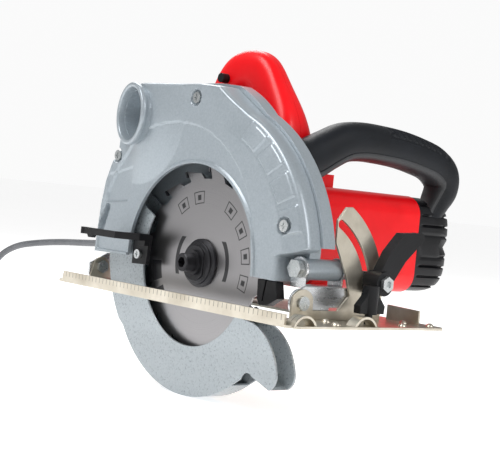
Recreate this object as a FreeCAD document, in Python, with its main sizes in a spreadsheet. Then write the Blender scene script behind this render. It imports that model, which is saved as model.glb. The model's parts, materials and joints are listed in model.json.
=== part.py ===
import FreeCAD, Part
import math
import os

import Sketcher
from FreeCAD import Placement, Rotation, Vector

# A hand-held circular saw, modelled as it comes apart on the bench.
# Every sub-part is drawn about the arbor: the arbor's centre in the blade's mid-plane is 0,0,0,
# +X is the way the saw cuts, +Y points from the blade to the motor and +Z is up.
# At the end each sub-part is moved so that the origin is under the middle of the saw,
# level with the lowest point of the lower guard.

SIZES = {
    # where the arbor sits in the finished frame
    "arbor_x": -10, "arbor_y": -93, "arbor_height": 109,
    # blade and spindle
    "blade_radius": 80, "blade_thickness": 1.8, "blade_bore": 10, "tooth_count": 16,
    "flange_radius": 20, "bolt_head_radius": 7.5, "spindle_radius": 7.5,
    # gears: centre distance is half the sum of the pitch diameters
    "gear_module": 1.2, "gear_teeth": 44, "pinion_teeth": 12, "gear_low": 38, "gear_high": 47,
    "shaft_x": 18.5, "shaft_z": 28.05, "shaft_radius": 5,
    # guards
    "cover_face": -17.3, "cover_back": 4, "cover_wall": 3.3, "guard_radius": 134.5,
    "opening_radius": 81, "housing_back": 17, "housing_wall": 3.2, "housing_lip": 2.5,
    "lower_radius": 109, "lower_bore": 68, "lower_face": -9.5, "lower_back": 11.5, "lower_wall": 2,
    "hub_radius": 27, "port_radius": 25.6, "port_bore": 22.6,
    # motor
    "motor_front": 74, "motor_rear": -28, "motor_low": -12, "motor_top": 72.5, "motor_start": 58.3,
    "cap_start": 178.3, "cap_end": 232, "motor_wall": 3, "motor_corner": 17,
    # main handle
    "handle_middle": 50, "handle_half": 18, "handle_wall": 3,
    # auxiliary loop handle
    "loop_x": 58, "loop_half_height": 17.5,
    # base plate and the two hinges that carry it
    "sole": -31, "sheet_thickness": 2, "base_front": 170, "base_rear": -134,
    "base_near": -53.2, "base_far": 114, "fence_height": 9.5,
    "depth_x": 118, "depth_z": 8, "barrel_radius": 8.2,
    "bevel_y": -7, "bevel_z": -17, "slot_radius": 69.5, "clamp_turn": 15.5, "bevel_range": 45,
    "depth_arc_radius": 230, "depth_range": 26,
    # mains lead
    "cord_radius": 3.3,
}


class Size(float):
    """A number that remembers the sheet formula it comes from."""

    def __new__(cls, value, formula):
        size = float.__new__(cls, value)
        size.formula = formula
        return size

    def __add__(self, other):
        return Size(float(self) + float(other), f"({self.formula} + {formula_of(other)})")

    def __radd__(self, other):
        return Size(float(other) + float(self), f"({formula_of(other)} + {self.formula})")

    def __sub__(self, other):
        return Size(float(self) - float(other), f"({self.formula} - {formula_of(other)})")

    def __rsub__(self, other):
        return Size(float(other) - float(self), f"({formula_of(other)} - {self.formula})")

    def __mul__(self, other):
        return Size(float(self) * float(other), f"({self.formula} * {formula_of(other)})")

    __rmul__ = __mul__

    def __neg__(self):
        return Size(-float(self), f"(-1 * {self.formula})")


def formula_of(number):
    return number.formula if isinstance(number, Size) else repr(float(number))


doc = FreeCAD.newDocument("circular_saw")
sheet = doc.addObject("Spreadsheet::Sheet", "sizes")
for row, (alias, number) in enumerate(SIZES.items(), start=1):
    sheet.set(f"A{row}", alias)
    sheet.set(f"B{row}", str(number))
    sheet.setAlias(f"B{row}", alias)
doc.recompute()


def size(alias):
    return Size(SIZES[alias], f"sizes.{alias}")


NODES = []


def node(obj, label):
    """Registers an object as a sub-part under the name of its file."""
    obj.Label = label
    NODES.append(obj)
    return obj


def bind(obj, path, number):
    """Sets a property and, when the number comes from the sheet, ties it to the sheet."""
    if "." not in path:
        setattr(obj, path, float(number))
    if isinstance(number, Size):
        obj.setExpression(path, number.formula)


# ---------------------------------------------------------------- PartDesign helpers

def new_body(name):
    return doc.addObject("PartDesign::Body", name)


PLANE_SIGN = {"XY": 1, "XZ": -1, "YZ": 1}


def new_sketch(body, plane, level):
    """An empty sketch on a plane parallel to one of the body's own, at a level along its axis."""
    sketch = body.newObject("Sketcher::SketchObject", body.Name + "_sketch")
    origin = [f for f in body.Origin.OriginFeatures if f.Role == plane + "_Plane"][0]
    sketch.AttachmentSupport = [(origin, "")]
    sketch.MapMode = "FlatFace"
    height = level * PLANE_SIGN[plane]
    sketch.AttachmentOffset = Placement(Vector(0, 0, float(height)), Rotation())
    if isinstance(height, Size):
        sketch.setExpression(".AttachmentOffset.Base.z", height.formula)
    return sketch


def add_outline(sketch, points):
    """A closed outline. A point is (u, v), or (u, v, mid_u, mid_v) when the edge that leaves it
    is an arc through the middle point. Coordinates that come from the sheet are dimensioned."""
    first = sketch.GeometryCount
    count = len(points)
    ends = []
    for i, point in enumerate(points):
        start = Vector(float(point[0]), float(point[1]), 0)
        after = points[(i + 1) % count]
        end = Vector(float(after[0]), float(after[1]), 0)
        clockwise = False
        if len(point) == 4:
            middle = Vector(float(point[2]), float(point[3]), 0)
            clockwise = (middle - start).cross(end - middle).z < 0
            edge = Part.Arc(end, middle, start) if clockwise else Part.Arc(start, middle, end)
            sketch.addGeometry(edge, False)
        else:
            sketch.addGeometry(Part.LineSegment(start, end), False)
        ends.append((2, 1) if clockwise else (1, 2))
    for i in range(count):
        here, before = first + i, first + (i - 1) % count
        sketch.addConstraint(
            Sketcher.Constraint("Coincident", before, ends[i - 1][1], here, ends[i][0]))
    for i, point in enumerate(points):
        for kind, number in (("DistanceX", point[0]), ("DistanceY", point[1])):
            if isinstance(number, Size) and abs(number) > 1e-6:
                index = sketch.addConstraint(
                    Sketcher.Constraint(kind, -1, 1, first + i, ends[i][0], float(number)))
                sketch.setExpression(f"Constraints[{index}]", number.formula)


def add_circle(sketch, u, v, radius):
    index = sketch.addGeometry(Part.Circle(Vector(float(u), float(v), 0), Vector(0, 0, 1), float(radius)))
    constraint = sketch.addConstraint(Sketcher.Constraint("Radius", index, float(radius)))
    if isinstance(radius, Size):
        sketch.setExpression(f"Constraints[{constraint}]", radius.formula)
    for kind, number in (("DistanceX", u), ("DistanceY", v)):
        if isinstance(number, Size) and abs(number) > 1e-6:
            place = sketch.addConstraint(Sketcher.Constraint(kind, -1, 1, index, 3, float(number)))
            sketch.setExpression(f"Constraints[{place}]", number.formula)


def draw(sketch, shapes):
    """Each shape is an outline, or ("circle", u, v, radius)."""
    for shape in shapes:
        if shape[0] == "circle":
            add_circle(sketch, *shape[1:])
        else:
            add_outline(sketch, shape)


def pad(body, plane, low, high, *shapes):
    """Material between two levels along the plane's axis."""
    sketch = new_sketch(body, plane, low)
    draw(sketch, shapes)
    feature = body.newObject("PartDesign::Pad", body.Name + "_pad")
    feature.Profile = sketch
    bind(feature, "Length", high - low)
    feature.Reversed = plane == "XZ"
    return feature


def pocket(body, plane, low, high, *shapes):
    """A cut between two levels along the plane's axis."""
    sketch = new_sketch(body, plane, low)
    draw(sketch, shapes)
    feature = body.newObject("PartDesign::Pocket", body.Name + "_pocket")
    feature.Profile = sketch
    bind(feature, "Length", high - low)
    feature.Reversed = plane != "XZ"
    return feature


def turned(body, points, x=0.0, z=0.0):
    """A revolution about the line parallel to Y through (x, z); points are (radius, y)."""
    sketch = new_sketch(body, "XY", z)
    add_outline(sketch, [(x + p[0], p[1]) for p in points])
    axis = sketch.addGeometry(Part.LineSegment(Vector(float(x), -400, 0), Vector(float(x), 400, 0)), True)
    if isinstance(x, Size):
        for vertex in (1, 2):
            index = sketch.addConstraint(Sketcher.Constraint("DistanceX", -1, 1, axis, vertex, float(x)))
            sketch.setExpression(f"Constraints[{index}]", x.formula)
    feature = body.newObject("PartDesign::Revolution", body.Name + "_revolution")
    feature.Profile = sketch
    feature.ReferenceAxis = (sketch, ["Axis0"])
    feature.Angle = 360
    return feature


def around(body, feature, count, x=0.0, z=0.0):
    """Repeats a feature evenly about the line parallel to Y through (x, z)."""
    sketch = new_sketch(body, "XY", z)
    sketch.addGeometry(Part.LineSegment(Vector(float(x), -10, 0), Vector(float(x), 10, 0)), True)
    if isinstance(x, Size):
        for vertex in (1, 2):
            index = sketch.addConstraint(Sketcher.Constraint("DistanceX", -1, 1, 0, vertex, float(x)))
            sketch.setExpression(f"Constraints[{index}]", x.formula)
    pattern = body.newObject("PartDesign::PolarPattern", body.Name + "_pattern")
    pattern.Originals = [feature]
    pattern.Axis = (sketch, ["Axis0"])
    pattern.Angle = 360
    pattern.Occurrences = int(count)
    body.Tip = pattern
    return pattern


# ---------------------------------------------------------------- Part helpers

AXES = {"X": Vector(1, 0, 0), "Y": Vector(0, 1, 0), "Z": Vector(0, 0, 1)}


def rod(name, axis, start, length, radius):
    """A cylinder that starts at a point and runs along an axis."""
    cylinder = doc.addObject("Part::Cylinder", name)
    bind(cylinder, "Radius", radius)
    bind(cylinder, "Height", length)
    direction = AXES[axis] if isinstance(axis, str) else axis
    cylinder.Placement = Placement(Vector(*[float(c) for c in start]), Rotation(AXES["Z"], direction))
    for letter, number in zip("xyz", start):
        if isinstance(number, Size):
            cylinder.setExpression(f".Placement.Base.{letter}", number.formula)
    return cylinder


def prism(name, axis, start, length, radius, sides=6):
    """A regular prism, such as a hexagon head, across its corners twice the radius."""
    solid = doc.addObject("Part::Prism", name)
    solid.Polygon = sides
    bind(solid, "Circumradius", radius)
    bind(solid, "Height", length)
    solid.Placement = Placement(Vector(*[float(c) for c in start]), Rotation(AXES["Z"], AXES[axis]))
    for letter, number in zip("xyz", start):
        if isinstance(number, Size):
            solid.setExpression(f".Placement.Base.{letter}", number.formula)
    return solid


def block(name, low, high):
    """A box between two corners."""
    box = doc.addObject("Part::Box", name)
    for prop, a, b in zip(("Length", "Width", "Height"), low, high):
        bind(box, prop, b - a)
    box.Placement = Placement(Vector(*[float(c) for c in low]), Rotation())
    for letter, number in zip("xyz", low):
        if isinstance(number, Size):
            box.setExpression(f".Placement.Base.{letter}", number.formula)
    return box


def join(name, *objects):
    fused = doc.addObject("Part::MultiFuse", name)
    fused.Shapes = list(objects)
    fused.Refine = True
    return fused


def cut(name, base, *tools):
    tool = tools[0] if len(tools) == 1 else join(name + "_tools", *tools)
    result = doc.addObject("Part::Cut", name)
    result.Base = base
    result.Tool = tool
    result.Refine = True
    return result


def group(name, objects):
    """Identical pieces that share one node as separate solids."""
    compound = doc.addObject("Part::Compound", name)
    compound.Links = list(objects)
    return compound


def polar(radius, degrees, centre=(0.0, 0.0)):
    angle = math.radians(degrees)
    return centre[0] + radius * math.cos(angle), centre[1] + radius * math.sin(angle)


def rounded_box(low_u, low_v, high_u, high_v, corner):
    """A rectangle whose four corners are arcs."""
    k = corner * (1 - math.sqrt(0.5))
    return [
        (low_u + corner, low_v), (high_u - corner, low_v, high_u - k, low_v + k),
        (high_u, low_v + corner), (high_u, high_v - corner, high_u - k, high_v - k),
        (high_u - corner, high_v), (low_u + corner, high_v, low_u + k, high_v - k),
        (low_u, high_v - corner), (low_u, low_v + corner, low_u + k, low_v + k),
    ]


DEPTH_AXIS = (SIZES["depth_x"], SIZES["depth_z"])
DEPTH_BOLT_ANGLE = 5.5
FLOOR = -SIZES["arbor_height"]


# ---------------------------------------------------------------- blade and spindle

def hook_teeth(body, radius, count, low, high):
    """Hook teeth: the face leans forward of the radius and a round gullet lies ahead of it."""
    pitch = 360 / count
    root = float(radius) - 11
    tip = polar(float(radius) - 0.4, 0)
    face_foot = polar(root, -3)
    back_foot = polar(root + 0.6, -pitch + 5.5)
    shoulder = polar(float(radius) - 5.5, -pitch + 9)
    inside = polar(root - 3, -pitch / 2)
    tooth = pad(body, "XZ", low, high, [tip, face_foot, inside, back_foot, shoulder])
    return around(body, tooth, count)


def build_spindle_set():
    half = size("blade_thickness") * 0.5
    blade = new_body("blade")
    pad(blade, "XZ", -half, half,
        ("circle", 0, 0, size("blade_radius") - 10.4), ("circle", 0, 0, size("blade_bore")))
    hook_teeth(blade, size("blade_radius"), SIZES["tooth_count"], -half, half)
    node(blade, "blade")

    tips = []
    for i in range(SIZES["tooth_count"]):
        tip = block(f"tip_{i}", (-1.7, -half - 0.3, 0), (0.0, half + 0.3, 4.5))
        turn = Rotation(Vector(0, 1, 0), -360 / SIZES["tooth_count"] * i + 88.4)
        place = turn.multVec(Vector(0, 0, SIZES["blade_radius"] - 4.6))
        tip.Placement = Placement(place + Vector(0, float(-half - 0.3), 0), turn)
        tips.append(tip)
    node(group("tips_group", tips), "carbide_tips")

    spindle = new_body("spindle")
    nose = size("blade_bore") - 0.03
    turned(spindle, [(4.05, -half), (nose, -half), (nose, 6.2), (size("spindle_radius"), 6.2),
                     (size("spindle_radius"), 57), (0, 57), (0, 24), (4.05, 24)])
    node(spindle, "spindle")

    inner = new_body("inner_flange")
    bore = size("blade_bore")
    turned(inner,
        [(bore, half), (size("flange_radius"), half), (size("flange_radius"), 3.2), (16, 5.6), (bore, 5.6)])
    node(inner, "inner_flange")

    outer = new_body("outer_flange")
    turned(outer,
        [(4.2, -half), (size("flange_radius"), -half), (size("flange_radius"), -3.2), (17.5, -4.6),
                   (17.5, -6.6), (14.5, -7.4), (14.5, -9.4), (4.2, -9.4)])
    pocket(outer, "XZ", -9.4, -7.4,
           [(11.5, -16), (16, -16), (16, 16), (11.5, 16)],
           [(-16, -16), (-11.5, -16), (-11.5, 16), (-16, 16)])
    node(outer, "outer_flange")

    bolt = new_body("arbor_bolt")
    head = size("bolt_head_radius")
    turned(bolt, [(0, -22), (head - 0.8, -22), (head, -21.2), (head, -12.2), (10.5, -12.2), (10.5, -9.4),
                  (3.95, -9.4), (3.95, 20), (0, 20)])
    pocket(bolt, "XZ", -22, -15, [polar(4.6, 60 * i) for i in range(6)])
    node(bolt, "arbor_bolt")

    gear = new_body("spindle_gear")
    gear_teeth_ring(gear, SIZES["gear_teeth"], 0.0, 0.0, size("gear_low"), size("gear_high"),
                    size("spindle_radius") + 0.02,
                    math.degrees(math.atan2(SIZES["shaft_z"], SIZES["shaft_x"])))
    node(gear, "spindle_gear")


def gear_teeth_ring(body, teeth, x, z, low, high, bore, first_angle):
    """A straight-cut gear: a disc to the tooth roots and one tooth repeated round it."""
    module = SIZES["gear_module"]
    pitch_radius = size("gear_module") * (teeth / 2)
    root = pitch_radius - 1.3 * module
    shapes = [("circle", x, z, root)]
    if bore is not None:
        shapes.append(("circle", x, z, bore))
    pad(body, "XZ", low, high, *shapes)
    along = Vector(math.cos(math.radians(first_angle)), math.sin(math.radians(first_angle)), 0)
    across = Vector(-along.y, along.x, 0)
    outline = []
    for radius, half_width in ((-2.0, 1.2), (0.0, 0.7), (0.85, 0.36)):
        for side in (1, -1):
            point = along * (float(pitch_radius) + radius * module) + across * (side * half_width * module)
            outline.append((float(x) + point.x, float(z) + point.y))
    order = [0, 2, 4, 5, 3, 1]
    tooth = pad(body, "XZ", low, high, [outline[i] for i in order])
    around(body, tooth, teeth, x, z)


# ---------------------------------------------------------------- motor

def build_armature():
    x, z = size("shaft_x"), size("shaft_z")
    shaft = new_body("armature_shaft")
    towards_gear = math.degrees(math.atan2(-SIZES["shaft_z"], -SIZES["shaft_x"]))
    gear_teeth_ring(shaft, SIZES["pinion_teeth"], x, z, size("gear_low") - 1, size("gear_high") + 1, None,
                    towards_gear + 180 / SIZES["pinion_teeth"])
    turned(shaft, [(0, 33), (size("shaft_radius") - 0.5, 33), (size("shaft_radius") - 0.5, 48),
                   (size("shaft_radius"), 48), (size("shaft_radius"), 196), (0, 196)], x, z)
    node(shaft, "armature_shaft")

    bore = size("shaft_radius") + 0.02
    core = new_body("armature_core")
    turned(core, [(bore, 82), (23.5, 82), (23.5, 134), (bore, 134)], x, z)
    slot = pocket(core, "XZ", 82, 134, [(x + 20, z - 1), (x + 25, z - 1), (x + 25, z + 1), (x + 20, z + 1)])
    around(core, slot, 12, x, z)
    node(core, "armature_core")

    windings = new_body("armature_winding")
    turned(windings, [(bore, 134), (17, 134), (20, 137), (20, 141), (17, 144), (bore, 144)], x, z)
    node(windings, "armature_winding")

    commutator = new_body("commutator")
    turned(commutator, [(bore, 146), (13, 146), (13, 166), (bore, 166)], x, z)
    node(commutator, "commutator")

    fan = new_body("cooling_fan")
    turned(fan, [(bore, 64), (29, 64), (29, 65.5), (9, 65.5), (9, 76), (bore, 76)], x, z)
    vane = pad(fan, "XZ", 65.5, 75, [(x + 9, z), (x + 28, z + 5), (x + 28, z + 6.5), (x + 8.5, z + 1.6)])
    around(fan, vane, 11, x, z)
    node(fan, "cooling_fan")

    stator = new_body("stator")
    turned(stator, [(24.2, 80), (35, 80), (35, 136), (24.2, 136)], x, z)
    node(stator, "stator")

    rings = []
    for name, y, outer in (("front", 50.5, 13), ("rear", 186, 11)):
        ring = cut(f"armature_bearing_{name}", rod(f"race_{name}", "Y", (x, y, z), 7, outer),
                   rod(f"race_{name}_bore", "Y", (x, y - 1, z), 9, size("shaft_radius") + 0.02))
        rings.append(ring)
    node(group("armature_bearing_group", rings), "armature_bearings")

    rings = []
    for name, y, length, outer in (("front", 17.6, 10, 16), ("rear", 49, 7, 12.5)):
        ring = cut(f"spindle_bearing_{name}", rod(f"spindle_race_{name}", "Y", (0, y, 0), length, outer),
                   rod(f"spindle_race_{name}_bore", "Y", (0, y - 1, 0), length + 2,
                       size("spindle_radius") + 0.02))
        rings.append(ring)
    node(group("spindle_bearing_group", rings), "spindle_bearings")

    holders, brushes = [], []
    for name, side in (("upper", 1), ("lower", -1)):
        near, far = z + 14.5 * side, z + 32 * side
        low, high = (near, far) if side > 0 else (far, near)
        holder = cut(f"brush_holder_{name}",
            block(f"brush_tube_{name}", (x - 6, 150, low), (x + 6, 162, high)),
                     block(f"brush_hole_{name}", (x - 3.6, 152.4, low - 1), (x + 3.6, 159.6, high + 1)))
        holders.append(holder)
        inner = z + 13.2 * side
        outer = z + 26 * side
        low, high = (inner, outer) if side > 0 else (outer, inner)
        brushes.append(block(f"carbon_brush_{name}", (x - 3.4, 152.6, low), (x + 3.4, 159.4, high)))
    node(group("brush_holder_group", holders), "brush_holders")
    node(group("carbon_brush_group", brushes), "carbon_brushes")


def motor_section(inset):
    """The rounded box of the motor, seen along its shaft."""
    corner = SIZES["motor_corner"] - inset * 0.6
    return rounded_box(size("motor_rear") + inset, size("motor_low") + inset,
                       size("motor_front") - inset, size("motor_top") - inset, corner)


def build_motor_housing():
    wall = SIZES["motor_wall"]
    case = new_body("gear_case")
    start = size("housing_back") + 0.3
    end = size("motor_start") - 0.3
    pad(case, "XZ", start, end, motor_section(2.0))
    pad(case, "XZ", start, end, ("circle", 0, 0, 28))
    pocket(case, "XZ", size("gear_low") - 6, end + 0.01, motor_section(2.0 + wall))
    pocket(case, "XZ", size("gear_low") - 6, end - wall, ("circle", 0, 0, 28 - 0.5))
    pocket(case, "XZ", start, end, ("circle", 0, 0, 16.05))
    pocket(case, "YZ", -30, -16.5, ("circle", 28, 22, 3.06))
    node(case, "gear_case")

    housing = new_body("motor_housing")
    pad(housing, "XZ", size("motor_start"), size("cap_start") - 0.3, motor_section(0.0))
    pocket(housing, "XZ", size("motor_start"), size("cap_start") - 0.3, motor_section(wall))
    pad(housing, "XY", size("motor_top") - 1, size("motor_top") + 11,
        [(14, 69), (44, 69), (44, 98), (14, 98)])
    for i in range(5):
        low = 106 + 9 * i
        pocket(housing, "XY", size("motor_top") - wall - 1, size("motor_top") + 1,
               [(-14, low), (20, low), (20, low + 4), (-14, low + 4)])
    node(housing, "motor_housing")

    cap = new_body("motor_end_cap")
    start, end = size("cap_start"), size("cap_end")
    pad(cap, "XZ", start, end - 26, motor_section(0.0))
    pad(cap, "YZ", size("motor_rear") + 4, size("motor_front") - 4,
        [(195, size("motor_low")), (206, size("motor_low"), 218, 6), (end, 24), (end, 46, 219, 58),
         (206, size("motor_top") - 4), (195, size("motor_top"))])
    pocket(cap, "XZ", start, end - 14, motor_section(wall + 3.0))
    pad(cap, "XZ", 184, end - 7, ("circle", size("shaft_x"), size("shaft_z"), 15))
    pad(cap, "XY", 42, 68, [(40, 186), (69, 186), (69, 214), (40, 214)])
    pocket(cap, "XZ", 184, 197.5, ("circle", size("shaft_x"), size("shaft_z"), 11.03))
    node(cap, "motor_end_cap")


# ---------------------------------------------------------------- fixed guard

def guard_outline(grow, foot, notch):
    """The fixed guard seen from the blade side: a round front, a flat top that leads into the
    dust port at the rear, and a rear leg. It is open below and notched for the depth hinge."""
    reach = size("guard_radius") + grow
    front_low = (reach * math.cos(math.radians(10.5)), reach * math.sin(math.radians(10.5)))
    front_top = (reach * math.cos(math.radians(66)), reach * math.sin(math.radians(66)))
    front_mid = polar(float(reach), 38)
    return [
        (notch, foot), (notch, front_low[1]), (front_low[0], front_low[1], *front_mid),
        (front_top[0], front_top[1], 40 + 0.5 * grow, 134 + 0.9 * grow), (20, 144.4 + grow),
        (-4, 146.4 + grow),
        (-82, 146 + grow, -101 - 0.7 * grow, 138 + 0.7 * grow), (-108 - grow, 119), (-109.5 - grow, 90),
        (-118.5 - grow, 75.5, -127 - grow, 47), (-131 - grow, 18), (-132.5 - grow, foot),
    ]


def build_fixed_guard():
    face, back = size("cover_face"), size("cover_back")
    wall = SIZES["cover_wall"]
    cover = new_body("cover_shell")
    pad(cover, "XZ", face, back, guard_outline(0.0, -3.0, 106.0))
    pocket(cover, "XZ", face + wall, back, cavity_outline(wall, 9.0))
    pocket(cover, "XZ", face + 8.4, back, cavity_outline(wall))
    pocket(cover, "XZ", face - 1, face + wall + 1, ("circle", 0, 0, size("opening_radius")))
    slanted_band(cover, face)
    pocket(cover, "XZ", face - 1, face + 1.6, slanted_slot(-118.9, 36.6, -125.6, 17.4, 3.6))
    pocket(cover, "XZ", face - 1, face + 0.9, [(-96, 73), (-112, 69), (-121, 48), (-92, 44), (-84, 60)])
    tilt = Vector(-0.208, -0.978, 0)
    mouth = Vector(-84, -28, 119)
    length = 15.5
    port = rod("port_tube", tilt, mouth - tilt * length, length, size("port_radius"))
    lip = rod("port_lip", tilt, mouth - tilt * length, 4.5, size("port_radius") + 1.2)
    bore = rod("port_bore_tool", tilt, mouth - tilt * 28, 29, size("port_bore"))
    screw_seats = []
    for name, x, z in (("top", -8, 134.5), ("rear", -110, 83), ("front", 111, 39)):
        screw_seats.append(rod(f"cover_seat_{name}", "Y", (x, face - 1, z), 3.6, 5.6))
    node(cut("guard_cover_cut", join("guard_cover_joined", cover, port, lip), bore, *screw_seats),
        "guard_cover")

    screws = []
    for name, x, z, head in (("top", -8, 134.5, 2.0), ("rear", -110, 83, 2.0), ("front", 111, 39, 2.0)):
        screw = rod(f"cover_screw_{name}_head", "Y", (x, face + head - 1.6, z), 1.9, 4.6)
        cross = [block(f"cover_screw_{name}_{i}", (x - a, face + head - 2, z - b),
            (x + a, face + head - 0.6, z + b))
                 for i, (a, b) in enumerate(((2.6, 0.55), (0.55, 2.6)))]
        screws.append(cut(f"cover_screw_{name}", screw, *cross))
    node(group("cover_screw_group", screws), "cover_screws")

    housing = new_body("housing_shell")
    back = size("housing_back")
    start = size("cover_back") + 0.3
    inner_wall = back - SIZES["housing_wall"]
    pad(housing, "XZ", start, back, guard_outline(SIZES["housing_lip"], -3.0, 106.0))
    pocket(housing, "XZ", start, inner_wall, cavity_outline(wall - 1.0))
    pocket(housing, "XZ", inner_wall - 1, back + 1, [(-24, -24), (-24, -60), (24, -60), (24, -24)])
    pad(housing, "XZ", inner_wall - 4.6, back, ("circle", 0, 0, size("hub_radius")))
    pad(housing, "XZ", inner_wall, back, ("circle", 0, 0, 31))
    pocket(housing, "XZ", inner_wall - 6, back + 1, ("circle", 0, 0, 16.05))
    barrel = rod("hinge_barrel", "Y", (size("depth_x"), 0.3, size("depth_z")), 35.4, size("barrel_radius"))
    web = block("hinge_web", (size("depth_x") - 13, 5, size("depth_z") + 2),
        (size("depth_x") + 2, 16.6, 25.5))
    eye = rod("hinge_eye", "Y", (size("depth_x"), -1, size("depth_z")), 40, 4.06)
    bolt_x, bolt_z = polar(SIZES["depth_arc_radius"], 180 - DEPTH_BOLT_ANGLE, DEPTH_AXIS)
    bolt_hole = rod("depth_bolt_hole", "Y", (bolt_x, 12, bolt_z), 8, 3.06)
    joined = join("guard_housing_joined", housing, barrel, web)
    node(cut("guard_housing_cut", joined, eye, bolt_hole), "guard_housing")

    insert = new_body("front_insert")
    pad(insert, "XZ", -13.5, -5.5,
        [(84.5, -3.6), (105.5, -3.6), (108.5, -16.5), (97, -23), (88.5, -23.5), (85.5, -19)])
    pocket(insert, "XZ", -14, -12, [(94.2, -1), (95.6, -1), (92.6, -20), (91.2, -20)])
    node(insert, "front_insert")

    spring = doc.addObject("Part::Torus", "guard_spring_ring")
    spring.Radius1 = 29.4
    spring.Radius2 = 0.9
    spring.Placement = Placement(Vector(0, 12.6, 0), Rotation(AXES["Z"], AXES["Y"]))
    node(spring, "guard_spring")


def cavity_outline(wall, band=0.0):
    """The hollow that the lower guard turns into, open below. The band is extra material kept
    along the round front."""
    reach = float(size("guard_radius")) - wall - band
    return [
        (104.0, -12.0), (104.0, 26.0), (*polar(reach, 14), *polar(reach, 38)),
        (*polar(reach, 64), 41, 130 - wall), (20, 144.4 - wall), (-4, 146.4 - wall),
        (-82, 146 - wall, -99, 136 - wall), (-108 + wall, 119), (-109.5 + wall, 88),
        (-118.5 + wall, 73.5, -127 + wall, 46), (-131 + wall, 18), (-132.5 + wall, -12.0),
    ]


def slanted_slot(x1, z1, x2, z2, half_width):
    """A slot with round ends between two points."""
    length = math.hypot(x2 - x1, z2 - z1)
    ux, uz = (x2 - x1) / length * half_width, (z2 - z1) / length * half_width
    return [(x1 + uz, z1 - ux), (x2 + uz, z2 - ux, x2 + ux, z2 + uz),
            (x2 - uz, z2 + ux), (x1 - uz, z1 + ux, x1 - ux, z1 - uz)]


def slanted_band(cover, face):
    """Slopes the face back towards the rim over the round front of the cover."""
    sketch = new_sketch(cover, "XY", 0.0)
    add_outline(sketch, [(114, face - 1), (145, face - 1), (145, face + 7), (134.5, face + 7)])
    band = cover.newObject("PartDesign::Groove", "cover_band")
    band.Profile = sketch
    band.ReferenceAxis = (sketch, ["V_Axis"])
    band.Angle = 62
    band.Reversed = True


# ---------------------------------------------------------------- lower guard

def lower_outline(inner, end_angle=150):
    """The moving guard's side wall: a ring from inside the fixed guard round the bottom to the
    front, where it ends in a rounded tooth with a notch behind it."""
    outer = size("lower_radius")
    start_inner = polar(float(inner), end_angle)
    middle_inner = polar(float(inner), -120)
    front_inner = polar(float(inner), -32)
    start_outer = polar(float(outer), -56.6)
    middle_outer = polar(float(outer), -130)
    return [
        (*start_inner, *middle_inner), (*front_inner,), (78, -38.5, 101, -52.5),
        (111.3, -72, 110.6, -81.5), (104.5, -87), (84, -79.8, 76.5, -78), (71, -84),
        (*start_outer, *middle_outer), (*polar(float(outer), end_angle),),
    ]


def build_lower_guard():
    face, back = size("lower_face"), size("lower_back")
    wall = size("lower_wall")
    body = new_body("lower_guard")
    pad(body, "XZ", face, face + wall, lower_outline(size("lower_bore")))
    outer = float(size("lower_radius"))
    rim_inner = outer - SIZES["lower_wall"]
    rim = [(*polar(outer, -56.6), *polar(outer, -130)), (*polar(outer, 150),),
           (*polar(rim_inner, 150), *polar(rim_inner, -130)), (*polar(rim_inner, -56.6),)]
    pad(body, "XZ", face, back, rim)
    swell_centre = (-11.5, 8.5)
    swell = [(*polar(outer, -142, swell_centre), *polar(outer, 180, swell_centre)),
             (*polar(outer, 148, swell_centre),), (*polar(outer - 1, 148), *polar(outer - 1, 182)),
             (*polar(outer - 1, -140),)]
    pad(body, "XZ", face + 1.2, back, swell)
    pad(body, "XZ", back - wall, back, lower_outline(36.0))
    pad(body, "XZ", back - wall, back, ("circle", 0, 0, 37), ("circle", 0, 0, size("hub_radius") + 0.06))
    pad(body, "XZ", face, back, [(104.5, -87), (102.5, -84.6), (84, -77.6), (84, -79.8)])
    node(body, "lower_guard")

    bracket = new_body("lever_bracket")
    pad(bracket, "XZ", -13.4, -9.8, [(-79, -8.7), (-59, -8), (-57, 17), (-79, 18)])
    arm = [(-57, -13), (-57, -24), (-70, -40.5), (-116, -40.5, -121.5, -38.4), (-116, -36.2),
        (-75, -36.2), (-70, -30),
           (-72, -13)]
    pad(bracket, "XY", 12.2, 18, arm)
    pad(bracket, "XY", 8, 13, [(-57, -13), (-57, -18), (-66, -18), (-68, -13)])
    pad(bracket, "XZ", -40.5, -36.2, [(-102, 12.4), (-104, 9.8), (-109, 9.8), (-111, 12.4)])
    screw_hole = rod("lever_screw_hole", "Y", (-70, -15, 0), 8, 2.1)
    node(cut("guard_lever_cut", bracket, screw_hole), "guard_lever")

    head = rod("lever_screw_head", "Y", (-70, -15.8, 0), 2.4, 4.0)
    shank = rod("lever_screw_shank", "Y", (-70, -13.5, 0), 3.6, 2.0)
    cross = [block(f"lever_cross_{i}", (-70 - a, -16.2, -b), (-70 + a, -14.6, b))
             for i, (a, b) in enumerate(((2.3, 0.5), (0.5, 2.3)))]
    node(cut("lever_screw_cut", join("lever_screw_joined", head, shank), *cross), "lever_screw")


# ---------------------------------------------------------------- main handle

def handle_outline(inset=0.0):
    """The main handle seen from the blade side: a front column that leans back, a rounded top,
    a rear grip that comes down behind the gear case, and a foot that closes the D."""
    return [
        (44 - inset, 73.6 + inset), (44 - inset, 121), (58 - 1.6 * inset, 129),
        (21 - 0.5 * inset, 164 - inset),
        (2, 181 - inset, -12, 183.5 - inset), (-28, 181 - inset, -41 + 0.4 * inset, 177.5 - inset),
        (-49 + 0.9 * inset, 170 - 0.7 * inset), (-96 + inset, 66), (-99 + inset, 24), (-91, 12 + inset),
        (-82 - 0.5 * inset, 12 + inset), (-64 - 0.5 * inset, 32 + inset), (-31 - inset, 34 + inset),
        (-31 - inset, 73.6 + inset),
    ]


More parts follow.
